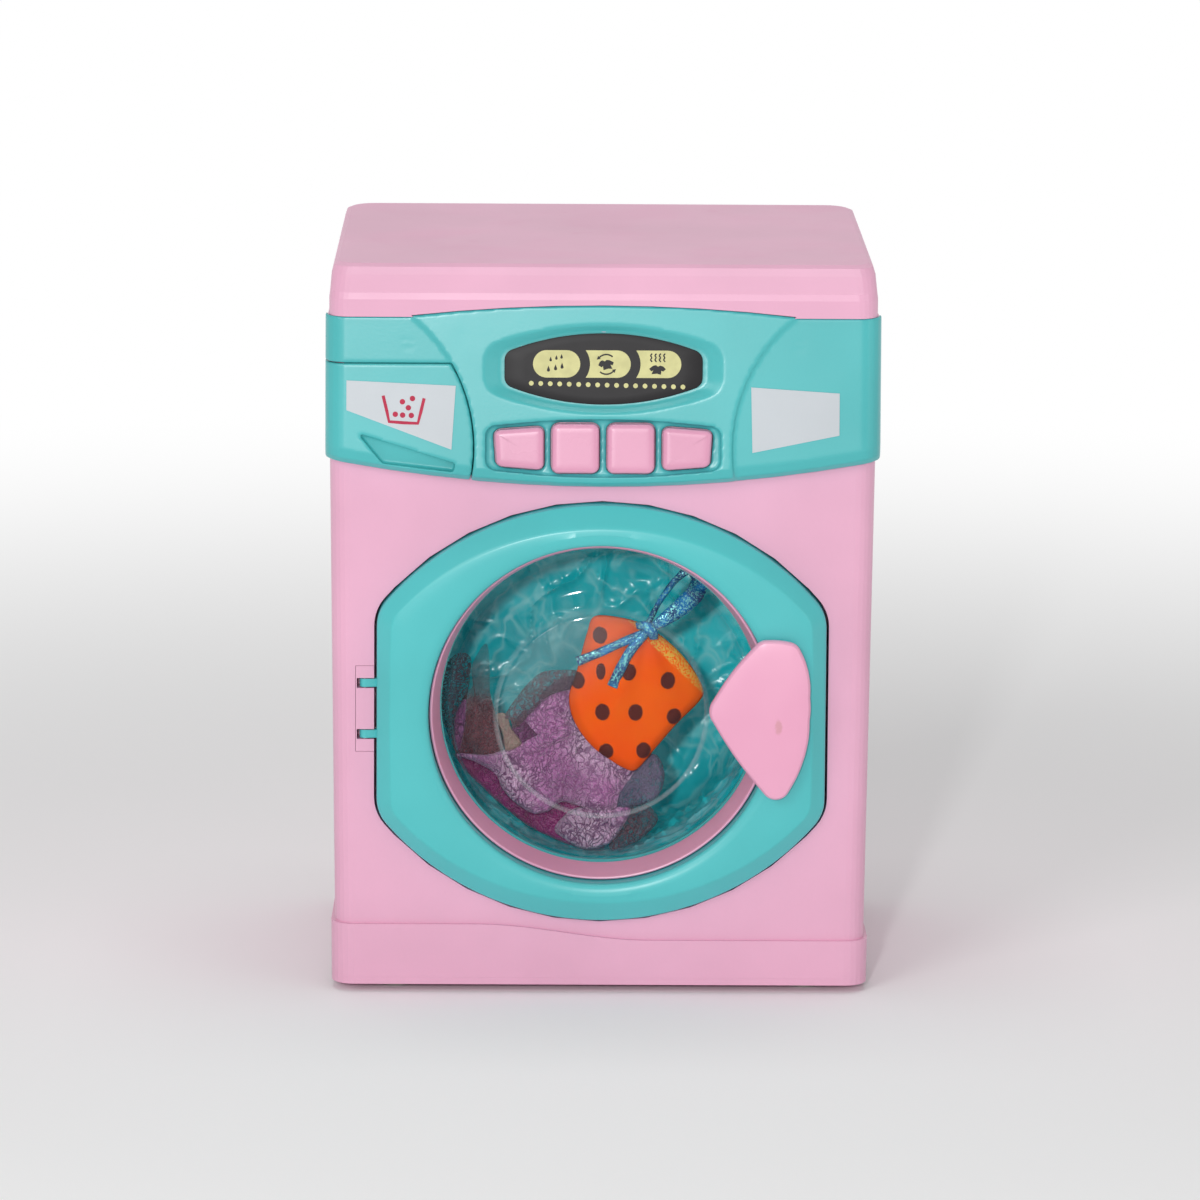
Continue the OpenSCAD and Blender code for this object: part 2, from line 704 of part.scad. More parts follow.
module control_fascia() {
    color(turquoise) difference() {
        union() {
            difference() {
                fascia_body(0);
                fascia_body(fascia_t);
                along_y(dy(-panel_proud - 1), dy(9)) drawer_zone(0);
                along_y(dy(-panel_proud - 1), dy(3)) panel_outline(-fascia_t);
            }
            difference() {
                fascia_centre(0);
                fascia_centre(fascia_t);
            }
            // flange behind the drawer front
            difference() {
                along_y(dy(-1.2), dy(-touch)) intersection() {
                    drawer_zone(-0.6);
                    translate([front_edge_r - fascia_end, fascia_z + 8]) square([60, 50]);
                }
                box([drawer_x - drawer_w / 2 - 1, dy(-2), drawer_z0 - 1],
                    [drawer_x + drawer_w / 2 + 1, dy(1), drawer_z0 + drawer_h + 1.6]);
            }
            // floors of the display recess and of the button tray
            on_panel(0, display_v, display_recess + fascia_t) linear_extrude(fascia_t + 0.4)
                polygon(barrel(display_half_w + 8, display_half_h + 3.6, 121, 8));
            on_panel(0, button_v, tray_depth + fascia_t) linear_extrude(fascia_t + 0.6)
                polygon(barrel(tray_half_w + 0.8, tray_half_h + 0.8, 331, 4.8));
            // posts that carry the board, and posts for the fascia screws
            for (p = boss_places) on_panel(p[0], p[1], board_depth - touch)
                cylinder(r = 2.4, h = board_depth - fascia_t * 0.5);
            for (p = fascia_places) bar(2.6, 0.6 - proud(p[1], false), -touch, p[0], p[1]);
        }
        cabinet_block(-shell_play, fascia_z - 9, shell_h + 0.3);
        // sloping display recess
        on_panel(0, display_v, display_recess) loft([
            at_z(barrel(display_half_w + 2, display_half_h + 1.2, 100, 5), 0),
            at_z(barrel(display_half_w + 7.6, display_half_h + 3.4, 121, 8), display_recess + eps),
            at_z(barrel(display_half_w + 7.6, display_half_h + 3.4, 121, 8), display_recess + 3)
        ]);
        for (x = lamp_places) on_panel(x, display_v + 1.3, 6) cylinder(r = 4.4, h = 8);
        // button tray and the four holes in its floor
        on_panel(0, button_v, tray_depth) linear_extrude(6)
            polygon(barrel(tray_half_w, tray_half_h, 330, 4));
        for (i = [0:3]) on_panel(button_x(i), button_v, 8)
            linear_extrude(9) polygon(button_outline(i, button_gap));
        for (p = boss_places) on_panel(p[0], p[1], board_depth + 1) cylinder(r = 0.9, h = board_depth - 1);
        for (p = fascia_places) bar(1, -1.6, 1, p[0], p[1]);
    }
}

module fascia_screws() {
    color(steel) for (p = fascia_places)
        translate([p[0], dy(wall + touch), p[1]]) rotate([-90, 0, 0]) screw(0.95, 3.6, 2.1, 1.4);
}

module display_panel() {
    color(black) on_panel(0, display_v, display_recess - touch) linear_extrude(0.9)
        polygon(barrel(display_half_w, display_half_h, 97, 4));
}

label_t = 0.25;
// A thin sticker on the side panels, from its outline
module sticker(points) {
    z = [bend_z, shell_h - 2];
    color(label_grey) intersection() {
        along_x(-cabinet_w / 2, cabinet_w / 2) polygon([
            for (q = [[0, label_t], [1, label_t], [1, touch], [0, touch]])
                [dy(-proud(z[q[0]], false) - q[1]), z[q[0]]]
        ]);
        along_y(dy(-20), dy(5)) polygon([for (p = points) [p[0], fascia_z + p[1]]]);
    }
}

module right_label() {
    sticker([[55, 13.5], [edge_x - 14.5, 20], [edge_x - 14.5, 35.4], [54.4, 37.5]]);
}

// ---- board, lamps, button pad

module control_board() {
    color(board_green) difference() {
        on_panel(0, 0, board_depth + board_t) translate([-49, 2, 0]) cube([98, 48, board_t]);
        for (p = boss_places) on_panel(p[0], p[1], board_depth + board_t + 1)
            cylinder(r = 1.15, h = board_t + 2);
    }
    color(black) on_panel(20, 32, board_depth + board_t + 2.2) translate([-7, -5, 0])
        cube([14, 10, 2.2 + eps]);
}

module board_screws() {
    color(steel) for (p = boss_places) on_panel(p[0], p[1], board_depth + board_t + touch)
        rotate([180, 0, 0]) screw(0.85, 6, 1.9, 1.2);
}

module indicator_lamps() {
    color(white_plastic) for (x = lamp_places) on_panel(x, display_v + 1.3, board_depth - touch) {
        cylinder(r = 1.9, h = 1);
        translate([0, 0, 1 - eps]) cylinder(r = 1.5, h = 3.4);
        translate([0, 0, 4.4 - 2 * eps]) sphere(r = 1.5);
    }
}

flange_depth = tray_depth + fascia_t + cover_gap;
flange_t = 1.2;
pad_t = 0.8;

module button_pad() {
    color(white_plastic) {
        on_panel(-2 * button_pitch, button_v - 7, board_depth - touch) cube([4 * button_pitch, 14, pad_t]);
        for (i = [0:3]) on_panel(button_x(i), button_v, board_depth - touch - eps)
            cylinder(r1 = 4.6, r2 = 2.4, h = board_depth - flange_depth - flange_t - fit_gap);
    }
}

// ---- buttons

function button_x(i) = (i - 1.5) * button_pitch;

// Cap outline: the outer two are lower towards their outer side and draw in towards the bottom
function button_outline(i, grow) =
    let (
        hw = button_w / 2 + grow, hh = button_h / 2 + grow, r = 2.6 + grow,
        outer = i == 0 || i == 3, side = i < 2 ? -1 : 1
    )
    [for (p = round_rect(hw, hh, r)) outer
        ? [p[0] + (sign(p[0]) == side ? side * 0.45 * (1 + p[1] / hh) : 0),
            p[1] * (0.805 - 0.075 * side * p[0] / hw)]
        : p];

module button(i) {
    cap = 3.6;
    color(bright_pink) on_panel(button_x(i), button_v, flange_depth + flange_t) {
        linear_extrude(flange_t) polygon(button_outline(i, 1.1));
        translate([0, 0, flange_t - eps]) loft([
            at_z(button_outline(i, 0), 0),
            at_z(button_outline(i, 0), flange_depth - tray_depth + cap - 1.2),
            at_z(button_outline(i, -0.5), flange_depth - tray_depth + cap - 0.4),
            at_z(button_outline(i, -1.4), flange_depth - tray_depth + cap)
        ]);
    }
}

// ---- drawer

drawer_face_d = 1.5;

module drawer_housing() {
    gap = drawer_gap;
    x0 = drawer_x - drawer_w / 2 - gap;
    x1 = drawer_x + drawer_w / 2 + gap;
    z0 = drawer_z0 - gap;
    z1 = drawer_z0 + drawer_h + 2.5;
    d0 = wall + touch;
    d1 = wall + drawer_l + 5;
    color(white_plastic) difference() {
        union() {
            box([x0 - box_t, dy(d0), z0 - box_t], [x1 + box_t, dy(d1), z1 + box_t]);
            box([x0 - box_t, dy(d0), z0 - box_t - 1.5], [x1 + box_t + 3, dy(d0 + 1.6), z1 + box_t + 4]);
        }
        box([x0, dy(d0 - 1), z0], [x1, dy(d1 - box_t), z1]);
        // slots that lighten the roof
        for (i = [0:2]) box([x0 + 5, dy(14 + i * 16), z1 - 1], [x1 - 5, dy(24 + i * 16), z1 + box_t + 1]);
    }
}

module detergent_drawer() {
    x0 = drawer_x - drawer_w / 2;
    x1 = drawer_x + drawer_w / 2;
    z0 = drawer_z0;
    z1 = drawer_z0 + drawer_h;
    d1 = wall + drawer_l;
    color(turquoise) {
        difference() {
            union() {
                // front
                difference() {
                    intersection() {
                        fascia_body(0);
                        along_y(dy(-panel_proud - 1), dy(9)) drawer_zone(0.4);
                    }
                    cabinet_block(-0.4, fascia_z - 9, shell_h);
                    box([front_edge_r - fascia_end - 0.3, dy(-drawer_face_d), 0], [0, dy(9), shell_h]);
                }
                box([x0, dy(-drawer_face_d - eps), z0], [x1, dy(d1), z1]);
            }
            // two compartments
            box([x0 + drawer_t, dy(1), z0 + drawer_t], [x0 + drawer_w * 0.56, dy(d1 - drawer_t), z1 + 1]);
            box([x0 + drawer_w * 0.56 + drawer_t, dy(1), z0 + drawer_t],
                [x1 - drawer_t, dy(d1 - drawer_t), z1 + 1]);
            // finger pull
            along_y(dy(-panel_proud), dy(-3.2)) polygon([
                [11 - edge_x, fascia_z + 20], [-54.5, fascia_z + 9], [-55.2, fascia_z + 5.6],
                [20.3 - edge_x, fascia_z + 8.6]
            ]);
        }
    }
}

module drawer_label() {
    sticker([[6.9 - edge_x, 28.5], [-55.9, 14.2], [-54.4, 37.6], [6.9 - edge_x, 39.4]]);
}

// ---------------------------------------------------------------- door

// One ring of the door frame: part way from its outline to the round opening, at a depth
function frame_ring(share, depth, inset = 0, grow = 0.3) =
    let (
        outer = barrel(door_w / 2 - inset, door_h / 2 - inset,
            door_arc_r - inset, door_corner_r - inset, 4, 6)
    )
    [for (p = outer) let (f = (door_hole_r + grow) / norm(p))
        [p[0] + (p[0] * f - p[0]) * share, dy(depth), door_z + p[1] + (p[1] * f - p[1]) * share]];

skin = 2;
module door_frame() {
    color(turquoise) difference() {
        union() {
            hoop([
                frame_ring(0, door_sink - 2.2), frame_ring(0, -2.4), frame_ring(0, -6.2, 3.6),
                frame_ring(0, -7.6, 6.4), frame_ring(0.15, -door_proud, 6.4),
                    frame_ring(1, -door_proud, 6.4, 4.2), frame_ring(1, -7.4, 6.4, 2),
                frame_ring(1, -6.5, 6.4, 0.6), frame_ring(1, -5.4, 6.4), frame_ring(1, 1.6, 6.4),
                frame_ring(0.9, 1.6, 6.4), frame_ring(0.86, -4.6, 6.4), frame_ring(0.3, -5.4, 6.4),
                frame_ring(0, -4, 6.4), frame_ring(0, 0, skin), frame_ring(0, door_sink - 2.2, skin)
            ]);
            for (p = door_screw_places()) bar(3, -5, door_sink - 2.2 - touch, p[0], p[1]);
            for (z = arm_places) hinge_arm(z);
        }
        for (p = door_screw_places()) bar(1, 4, door_sink, p[0], p[1]);
        for (z = arm_places) translate([hinge_x, dy(hinge_d), z - arm_h])
            cylinder(r = pin_r + run_gap, h = 2 * arm_h);
    }
}

// Screws between the frame and its back, one in each corner of the barrel
function door_screw_places() = [for (sx = [-1, 1], sz = [-1, 1]) [sx * 62, door_z + sz * 46]];

// Arm from the frame's side to the hinge pin
module hinge_arm(z) {
    translate([0, 0, z - arm_h / 2]) linear_extrude(arm_h) {
        translate([hinge_x, dy(hinge_d)]) circle(r = 2);
        translate([hinge_x, dy(hinge_d) - 1.4]) square([-door_w / 2 + 1 - hinge_x, 3]);
    }
}

funnel_back = 11.4;
module door_ring() {
    color(bright_pink) {
        translate([0, dy(0), door_z]) rotate([-90, 0, 0]) rotate_extrude($fn = 96) polygon([
            [door_hole_r - 0.3, -1.6], [door_hole_r - 0.9, -2.4], [door_hole_r - 1.9, -2.4],
                [door_hole_r - 2.6, -1.6],
            [window_r, funnel_back], [window_r + 1.8, funnel_back], [door_hole_r - 0.5, 1.8],
                [door_hole_r - 0.3, 0.8]
        ]);
        handle();
    }
}

// Handle: a rounded three-cornered shield over the right of the ring
handle_knots = [
    [61, 24.6, 5.4], [68.6, 24.2, 5.2], [71.6, 17, 5], [72, 8, 5.2], [71.9, 0, 5.2], [70.6, -12, 5.2],
    [64.8, -25, 5.4], [46.5, 3, 6.6]
];
module handle() {
    back = -door_proud - 0.6;
    hull() for (k = handle_knots) {
        bar(k[2] - 1, back - 1, back, k[0], door_z + k[1], $fn = 32);
        bar(k[2], back - 3, back - 1.2, k[0], door_z + k[1], $fn = 32);
        bar(k[2] - 2.4, -handle_proud, -handle_proud + 0.6, k[0], door_z + k[1], $fn = 32);
    }
    // stems from the ring's lip up to the handle
    for (a = [-14, 0, 14]) rotate_about_door(a)
        box([door_hole_r - 2.4, dy(back - 0.5), door_z - 2.5], [door_hole_r - 0.6, dy(-1.9), door_z + 2.5]);
}

module rotate_about_door(a) {
    translate([0, 0, door_z]) rotate([0, a, 0]) translate([0, 0, -door_z]) children();
}

// Clear window: a flange, a bowl that bulges to the front and a raised round middle
module door_window() {
    t = 1.6;
    back = funnel_back + touch;
    rise = [for (i = [0:6]) let (a = 90 * i / 6)
        [window_step_r + 3 + (window_r - 2.4 - window_step_r - 3) * cos(a), back - 14 * sin(a)]];
    rise_in = [for (i = [6:-1:0]) let (a = 90 * i / 6)
        [window_step_r + 3 + (window_r - 4 - window_step_r - 3) * cos(a), back + t - 14 * sin(a)]];
    color(clear) translate([0, dy(0), door_z]) rotate([-90, 0, 0]) rotate_extrude($fn = 96) polygon(concat(
        [[window_r + 2.4, back + t], [window_r + 2.4, back]], rise,
        [[window_step_r, back - 14], [window_step_r - 0.6, back - 16], [window_step_r / 2, back - 16.6],
            [0, back - 16.8]],
        [[0, back - 16.8 + t], [window_step_r / 2, back - 16.6 + t], [window_step_r - 1.4, back - 16 + t],
            [window_step_r - 1, back - 14 + t]],
        rise_in
    ));
}

module door_back() {
    d0 = door_sink - 2.2;
    color(turquoise) difference() {
        union() {
            along_y(dy(d0 + touch), dy(door_sink)) door_outline(0);
            for (p = catch_places)
                box([p[0] - catch_w / 2, dy(door_sink - 0.5), p[1] - catch_h / 2],
                    [p[0] + catch_w / 2, dy(door_sink + 4.4), p[1] + catch_h / 2]);
            // seat ring that presses the window against the funnel
            bar(window_r + 3.4, funnel_back + 1.6 + 2 * touch, d0 + 1, 0, door_z);
        }
        bar(window_r + 0.4, 0, door_sink + 1, 0, door_z);
        for (p = door_screw_places()) {
            bar(1.3, 0, door_sink + 1, p[0], p[1]);
            bar(2.3, door_sink - 1.2, door_sink + 1, p[0], p[1]);
        }
    }
}

module door_screws() {
    color(steel) for (p = door_screw_places())
        translate([p[0], dy(door_sink - 1.2 + touch), p[1]]) rotate([-90, 0, 0]) screw(0.95, 8, 2.1, 1.1);
}

module hinge_block() {
    w = hinge_half_w;
    mid = arm_mid();
    color(pink) difference() {
        box([hinge_x - w, dy(0), mid - hinge_half_h],
            [hinge_x + w, dy(hinge_depth - touch), mid + hinge_half_h]);
        for (z = arm_places)
            box([hinge_x - 3, dy(-1), z - arm_h / 2 - arm_gap],
                [hinge_x + w + 1, dy(hinge_depth + 1), z + arm_h / 2 + arm_gap]);
        translate([hinge_x, dy(hinge_d), mid - hinge_half_h + 1.2])
            cylinder(r = pin_r + touch, h = 2 * hinge_half_h);
    }
}

module hinge_pin() {
    color(steel) translate([hinge_x, dy(hinge_d), arm_mid() - hinge_half_h + 1.2 + touch])
        cylinder(r = pin_r, h = 2 * hinge_half_h - 1.6);
}

// ---------------------------------------------------------------- drum and laundry

drum_d0 = pocket_d + wall + 3.2;
drum_d1 = drum_d0 + drum_depth;

module drum() {
    lip = 3.5;
    color(drum_teal) translate([0, dy(0), door_z]) rotate([-90, 0, 0]) rotate_extrude($fn = 96) polygon([
        [drum_r - lip, drum_d0], [drum_r - lip, drum_d0 + 1.6], [drum_r - 1, drum_d0 + 2.6],
            [drum_r, drum_d0 + 4],
        [drum_r, drum_d1 - drum_t - 5], [drum_r - 5, drum_d1 - drum_t],
        [22, drum_d1 - drum_t], [12, drum_d1 - drum_t - 3], [0, drum_d1 - drum_t - 3],
        [0, drum_d1 - 4], [shaft_r + touch, drum_d1 - 4], [shaft_r + touch, drum_d1 + 3.6],
            [shaft_r + 3.5, drum_d1 + 3.6],
        [shaft_r + 5, drum_d1], [drum_r - 3, drum_d1],
        [drum_r + drum_t, drum_d1 - 5], [drum_r + drum_t, drum_d0 + 2], [drum_r + drum_t - 2, drum_d0]
    ]);
}

gear_d0 = frame_d + frame_t + 4;
gear_t = 6;
module drum_shaft() {
    color(steel) bar(shaft_r, drum_d1 - 4 + touch, gear_d0 + gear_t + 4, 0, door_z);
}

module shaft_clip() {
    d = gear_d0 + gear_t + 1.4;
    color(steel) difference() {
        bar(shaft_r + 2.2, d, d + 0.8, 0, door_z);
        bar(shaft_r + touch, d - 1, d + 2, 0, door_z);
        box([-shaft_r * 0.6, dy(d - 1), door_z], [shaft_r * 0.6, dy(d + 2), door_z + 9]);
    }
}

// A toothed wheel's outline: straight-flanked teeth, one of them centred at angle turn
module gear_outline(teeth, m, turn) {
    step = 360 / teeth;
    r_root = m * (teeth / 2 - 1.2);
    r_tip = m * (teeth / 2 + 0.9);
    polygon([for (i = [0:teeth - 1], k = [0:3])
        let (
            a = turn + i * step + [-0.34, -0.13, 0.13, 0.34][k] * step,
            r = k == 0 || k == 3 ? r_root : r_tip
        )
        [r * cos(a), r * sin(a)]]);
}

mesh_play = 0.12;
stage1_angle = 60;
stage2_angle = 90;
stage1_r = drum_module * (drum_teeth + small_teeth) / 2 + mesh_play;
stage2_r = motor_module * (large_teeth + pinion_teeth) / 2 + mesh_play;
idler_x = stage1_r * cos(stage1_angle);
idler_z = door_z + stage1_r * sin(stage1_angle);
motor_x = idler_x + stage2_r * cos(stage2_angle);
motor_z = idler_z + stage2_r * sin(stage2_angle);
axle_r = 1.5;
large_d0 = gear_d0 + gear_t + 1;
large_t = 3.6;

module drum_gear() {
    color(white_plastic) difference() {
        union() {
            along_y(dy(gear_d0), dy(gear_d0 + gear_t)) translate([0, door_z])
                gear_outline(drum_teeth, drum_module, stage1_angle);
            bar(6, gear_d0 - 1.6, gear_d0 + gear_t + 1.2, 0, door_z);
        }
        // thin web with round lightening holes
        for (side = [0, 1]) difference() {
            bar(25, gear_d0 + side * (gear_t - 2) - 0.02, gear_d0 + side * (gear_t - 2) + 2.02, 0, door_z);
            bar(9, gear_d0 - 1, gear_d0 + gear_t + 1, 0, door_z);
        }
        for (a = [0:60:300]) bar(4, gear_d0 - 1, gear_d0 + gear_t + 1, 17 * cos(a), door_z + 17 * sin(a));
        bar(shaft_r + touch, gear_d0 - 3, gear_d0 + gear_t + 3, 0, door_z);
    }
}

module compound_gear() {
    color(white_plastic) difference() {
        union() {
            along_y(dy(gear_d0 - 0.5), dy(large_d0 + eps)) translate([idler_x, idler_z])
                gear_outline(small_teeth, drum_module, stage1_angle + 180 + 180 / small_teeth);
            along_y(dy(large_d0), dy(large_d0 + large_t)) translate([idler_x, idler_z])
                gear_outline(large_teeth, motor_module, stage2_angle);
            bar(3, gear_d0 - 2, large_d0 + large_t + 1, idler_x, idler_z);
        }
        bar(axle_r + run_gap, gear_d0 - 3, large_d0 + large_t + 2, idler_x, idler_z);
    }
}

plate_d = large_d0 + large_t + 2.4;
plate_t = 2.4;
post_places = [[idler_x - 30, idler_z + 9], [idler_x + 28, idler_z + 9], [motor_x, motor_z + 20]];
motor_r = 12;
motor_l = 25;

module gear_axle() {
    color(steel) bar(axle_r, frame_d + touch, plate_d + plate_t - touch, idler_x, idler_z);
}

module motor_pinion() {
    color([0.78, 0.63, 0.30]) difference() {
        along_y(dy(large_d0 - 0.8), dy(large_d0 + large_t + 0.8)) translate([motor_x, motor_z])
            gear_outline(pinion_teeth, motor_module, stage2_angle + 180 + 180 / pinion_teeth);
        bar(1 + touch, large_d0 - 2, large_d0 + large_t + 2, motor_x, motor_z);
    }
}

module motor_shaft() {
    color(steel) bar(1, large_d0 - 1.4, plate_d + plate_t + 10, motor_x, motor_z);
}

module motor() {
    d0 = plate_d + plate_t + touch;
    color(steel) difference() {
        union() {
            bar(motor_r, d0, d0 + motor_l - 2.4, motor_x, motor_z);
            bar(3, plate_d, d0 + 1, motor_x, motor_z);
        }
        bar(1 + run_gap, plate_d - 1, d0 + 11, motor_x, motor_z);
        for (side = [-1, 1]) bar(0.9, d0 - 1, d0 + 3, motor_x + side * 8, motor_z);
    }
    color(white_plastic) {
        bar(motor_r - 0.6, d0 + motor_l - 2.4 - eps, d0 + motor_l - 1, motor_x, motor_z);
        for (side = [-1, 1])
            box([motor_x + side * 6 - 1, dy(d0 + motor_l - 1.2), motor_z - 0.3],
                [motor_x + side * 6 + 1, dy(d0 + motor_l + 2), motor_z + 0.3]);
    }
}

module motor_plate() {
    color(white_plastic) difference() {
        union() {
            along_y(dy(plate_d), dy(plate_d + plate_t)) hull() {
                for (p = post_places) translate(p) circle(r = 5, $fn = 32);
                translate([idler_x, idler_z]) circle(r = 5, $fn = 32);
            }
            for (p = post_places) bar(3.6, frame_d + frame_t + touch, plate_d + eps, p[0], p[1]);
        }
        bar(3 + touch, plate_d - 1, plate_d + plate_t + 1, motor_x, motor_z);
        bar(axle_r + touch, plate_d - 1, plate_d + plate_t + 1, idler_x, idler_z);
        for (side = [-1, 1]) bar(1.1, plate_d - 1, plate_d + plate_t + 1, motor_x + side * 8, motor_z);
        for (p = post_places) {
            bar(1.5, frame_d, plate_d + plate_t + 1, p[0], p[1]);
        }
    }
}

module motor_screws() {
    color(steel) {
        for (side = [-1, 1]) translate([motor_x + side * 8, dy(plate_d - touch), motor_z])
            rotate([90, 0, 0])
            screw(0.85, plate_t + 2, 1.9, 1.1);
        for (p = post_places) translate([p[0], dy(plate_d + plate_t + touch), p[1]]) rotate([-90, 0, 0])
            screw(1.4, plate_d + plate_t - frame_d - 0.4, 2.6, 1.6);
    }
}

bush_r = 5;
module drum_frame() {
    color(white_plastic) difference() {
        union() {
            along_y(dy(frame_d), dy(frame_d + frame_t)) difference() {
                union() {
                    translate([-frame_half_w, 54]) square([2 * frame_half_w, 118]);
                    translate([motor_x - 12, 170]) square([24, 14]);
                }
                // four openings leave a cross with a rim
                for (sx = [-1, 1]) {
                    translate([sx > 0 ? frame_half_w - 50 : 10 - frame_half_w, 66]) square([40, 32]);
                    translate([sx > 0 ? frame_half_w - 32 : 10 - frame_half_w, 118]) square([22, 36]);
                }
                translate([-16, 60]) square([32, 12]);
            }
            bar(bush_r + 3.4, frame_d - 1.6, frame_d + frame_t, 0, door_z);
            // stiffening ribs
            for (z = [56, 168])
                box([12 - frame_half_w, dy(frame_d + frame_t - eps), z],
                    [frame_half_w - 12, dy(frame_d + frame_t + 3), z + 2]);
        }
        bar(bush_r + touch, frame_d - 3, frame_d + frame_t + 4, 0, door_z);
        for (p = frame_places) bar(case_screw_r + 0.2, frame_d - 1, frame_d + frame_t + 1, p[0], p[1]);
        bar(axle_r + touch, frame_d - 1, frame_d + frame_t + 1, idler_x, idler_z);
        for (p = post_places) bar(1.45, frame_d - 1, frame_d + frame_t + 1, p[0], p[1]);
    }
}

module shaft_bush() {
    color([0.75, 0.60, 0.35]) difference() {
        union() {
            bar(bush_r, frame_d - 1.6, frame_d + frame_t + touch, 0, door_z);
            bar(bush_r + 1.4, frame_d + frame_t + touch, frame_d + frame_t + 1.4, 0, door_z);
        }
        bar(shaft_r + run_gap, frame_d - 3, frame_d + frame_t + 5, 0, door_z);
    }
}

module frame_screws() {
    color(steel) for (p = frame_places)
        translate([p[0], dy(frame_d + frame_t + touch), p[1]]) rotate([-90, 0, 0])
            screw(case_screw_r, 14, 2.8, 1.8);
}

module case_screws() {
    color(steel) for (p = case_places)
        translate([p[0], dy(case_screw_d + touch), p[1]]) rotate([-90, 0, 0])
            screw(case_screw_r, 20, 2.8, 1.8);
}

module small_screws() {
    color(steel) for (p = base_places)
        translate([p[0], p[1], foot_h + 1.2 - touch]) rotate([180, 0, 0]) screw(case_screw_r, 12, 2.8, 1);
    color(steel) for (p = ear_places)
        translate([p[0], dy(ear_d - 2 - 2 * touch), p[1]]) rotate([90, 0, 0])
            screw(case_screw_r, 9, 2.8, 1);
}

// ---- laundry: soft bundles, each a closed solid between a rippled front and a back

module bundle(front, back, nu, nv) {
    w = nu + 1;
    count = w * (nv + 1);
    rim = concat(
        [for (i = [0:nu - 1]) i], [for (j = [0:nv - 1]) j * w + nu],
        [for (i = [nu:-1:1]) nv * w + i], [for (j = [nv:-1:1]) j * w]
    );
    polyhedron(points = concat(front, back), faces = concat(
        [for (j = [0:nv - 1], i = [0:nu - 1], half = [0, 1]) let (a = j * w + i)
            half == 0 ? [a, a + w, a + 1] : [a + 1, a + w, a + w + 1]],
        [for (j = [0:nv - 1], i = [0:nu - 1], half = [0, 1]) let (a = count + j * w + i)
            half == 0 ? [a, a + 1, a + w] : [a + 1, a + w + 1, a + w]],
        [for (k = [0:len(rim) - 1], half = [0, 1]) let (a = rim[k], b = rim[(k + 1) % len(rim)])
            half == 0 ? [a, b, a + count] : [b, b + count, a + count]]
    ));
}

cloth_d = drum_d0 + 5;
soft_gap = 0.3;
// The orange dress: a puffed diamond, its corners given across and up from the door's centre
dress = [[-11, 1], [14, -29], [39, 1], [5, 31]];
function dress_at(s, t, lift) =
    let (
        p = dress[0] * (1 - s) * (1 - t) + dress[1] * s * (1 - t) + dress[2] * s * t + dress[3] * (1 - s) * t,
        edge = sin(180 * s) * sin(180 * t),
        fold = 0.7 * sin(540 * s + 40 + 60 * t) + 0.4 * sin(360 * t + 80)
    )
    [p[0], dy(cloth_d - lift) - 2.4 * edge - fold * (0.35 + 0.65 * edge), door_z + p[1]];

module orange_dress() {
    nu = 14;
    nv = 10;
    front = [for (j = [0:nv], i = [0:nu]) dress_at(i / nu, j / nv, 0)];
    color(orange) bundle(front, [for (p = front) [p[0], 2 * dy(cloth_d + 14) - p[1], p[2]]], nu, nv);
}

// The ribbon follows the dress's front, a little in front of it
module blue_ribbon() {
    nu = 4;
    nv = 10;
    at = [for (j = [0:nv], i = [0:nu]) [0.36 + 0.18 * i / nu, 0.2 + 0.76 * j / nv]];
    color(blue) bundle([for (q = at) dress_at(q[0], q[1], soft_gap + 0.9)],
        [for (q = at) dress_at(q[0], q[1], soft_gap)], nu, nv);
}

// The purple dress: a heap along the drum's wall, up to the orange dress's lower edge
heap_turn = 219.8;
function heap_in(a) =
    max((7.81 + soft_gap) / cos(a - heap_turn), 38 * (1 - min(1, max(0, (a - 182) / 22))));

module purple_dress() {
    nu = 22;
    nv = 8;
    at = [for (j = [0:nv], i = [0:nu]) [154 + 143 * i / nu, j / nv]];
    function ripple(a, t) =
        (1.6 * sin(7 * a) + 1.1 * sin(4 * a + 400 * t)) * sin(180 * min(1, t * 0.8 + 0.15));
    function heap_at(q, d) = let (r = heap_in(q[0]) + (drum_r - soft_gap - heap_in(q[0])) * q[1])
        [r * cos(q[0]), dy(d), door_z + r * sin(q[0])];
    color(purple) bundle(
        [for (q = at) heap_at(q, cloth_d + 5 - ripple(q[0], q[1]))],
        [for (q = at) heap_at(q, cloth_d + 34 - 4 * q[1])], nu, nv
    );
}

// ---------------------------------------------------------------- power

module battery_box() {
    d1 = back_d - wall - touch;
    d0 = d1 - box_depth - box_t;
    color(white_plastic) difference() {
        union() {
            box([-box_half_w - box_t, dy(d0), battery_z0 - box_t],
                [box_half_w + box_t, dy(d1), battery_z0 + box_h + box_t]);
            // ears that sit on the back shell's posts
            for (p = ear_places)
                box([p[0] - sign(p[0]) * 1.5 - 6, dy(ear_d - touch - 2), p[1] - 4],
                    [p[0] - sign(p[0]) * 1.5 + 6, dy(ear_d - touch), p[1] + 4]);
        }
        box([-box_half_w, dy(d0 + box_t), battery_z0], [box_half_w, dy(d1 + 1), battery_z0 + box_h]);
        for (p = ear_places) bar(1.6, ear_d - 4, ear_d + 1, p[0], p[1]);
    }
}

function battery_mid_d() = back_d - wall - touch - box_depth / 2 - 0.3;

module batteries() {
    color(cell_green) for (i = [-1:1]) {
        up = i == 0 ? -1 : 1;
        z = battery_z0 + box_h / 2 - up * battery_l / 2;
        translate([i * battery_pitch, dy(battery_mid_d()), z]) mirror([0, 0, up < 0 ? 1 : 0]) {
            cylinder(r = battery_r, h = battery_l - 1.2);
            translate([0, 0, battery_l - 1.2 - eps]) cylinder(r = 2.7, h = 1.2);
        }
    }
}

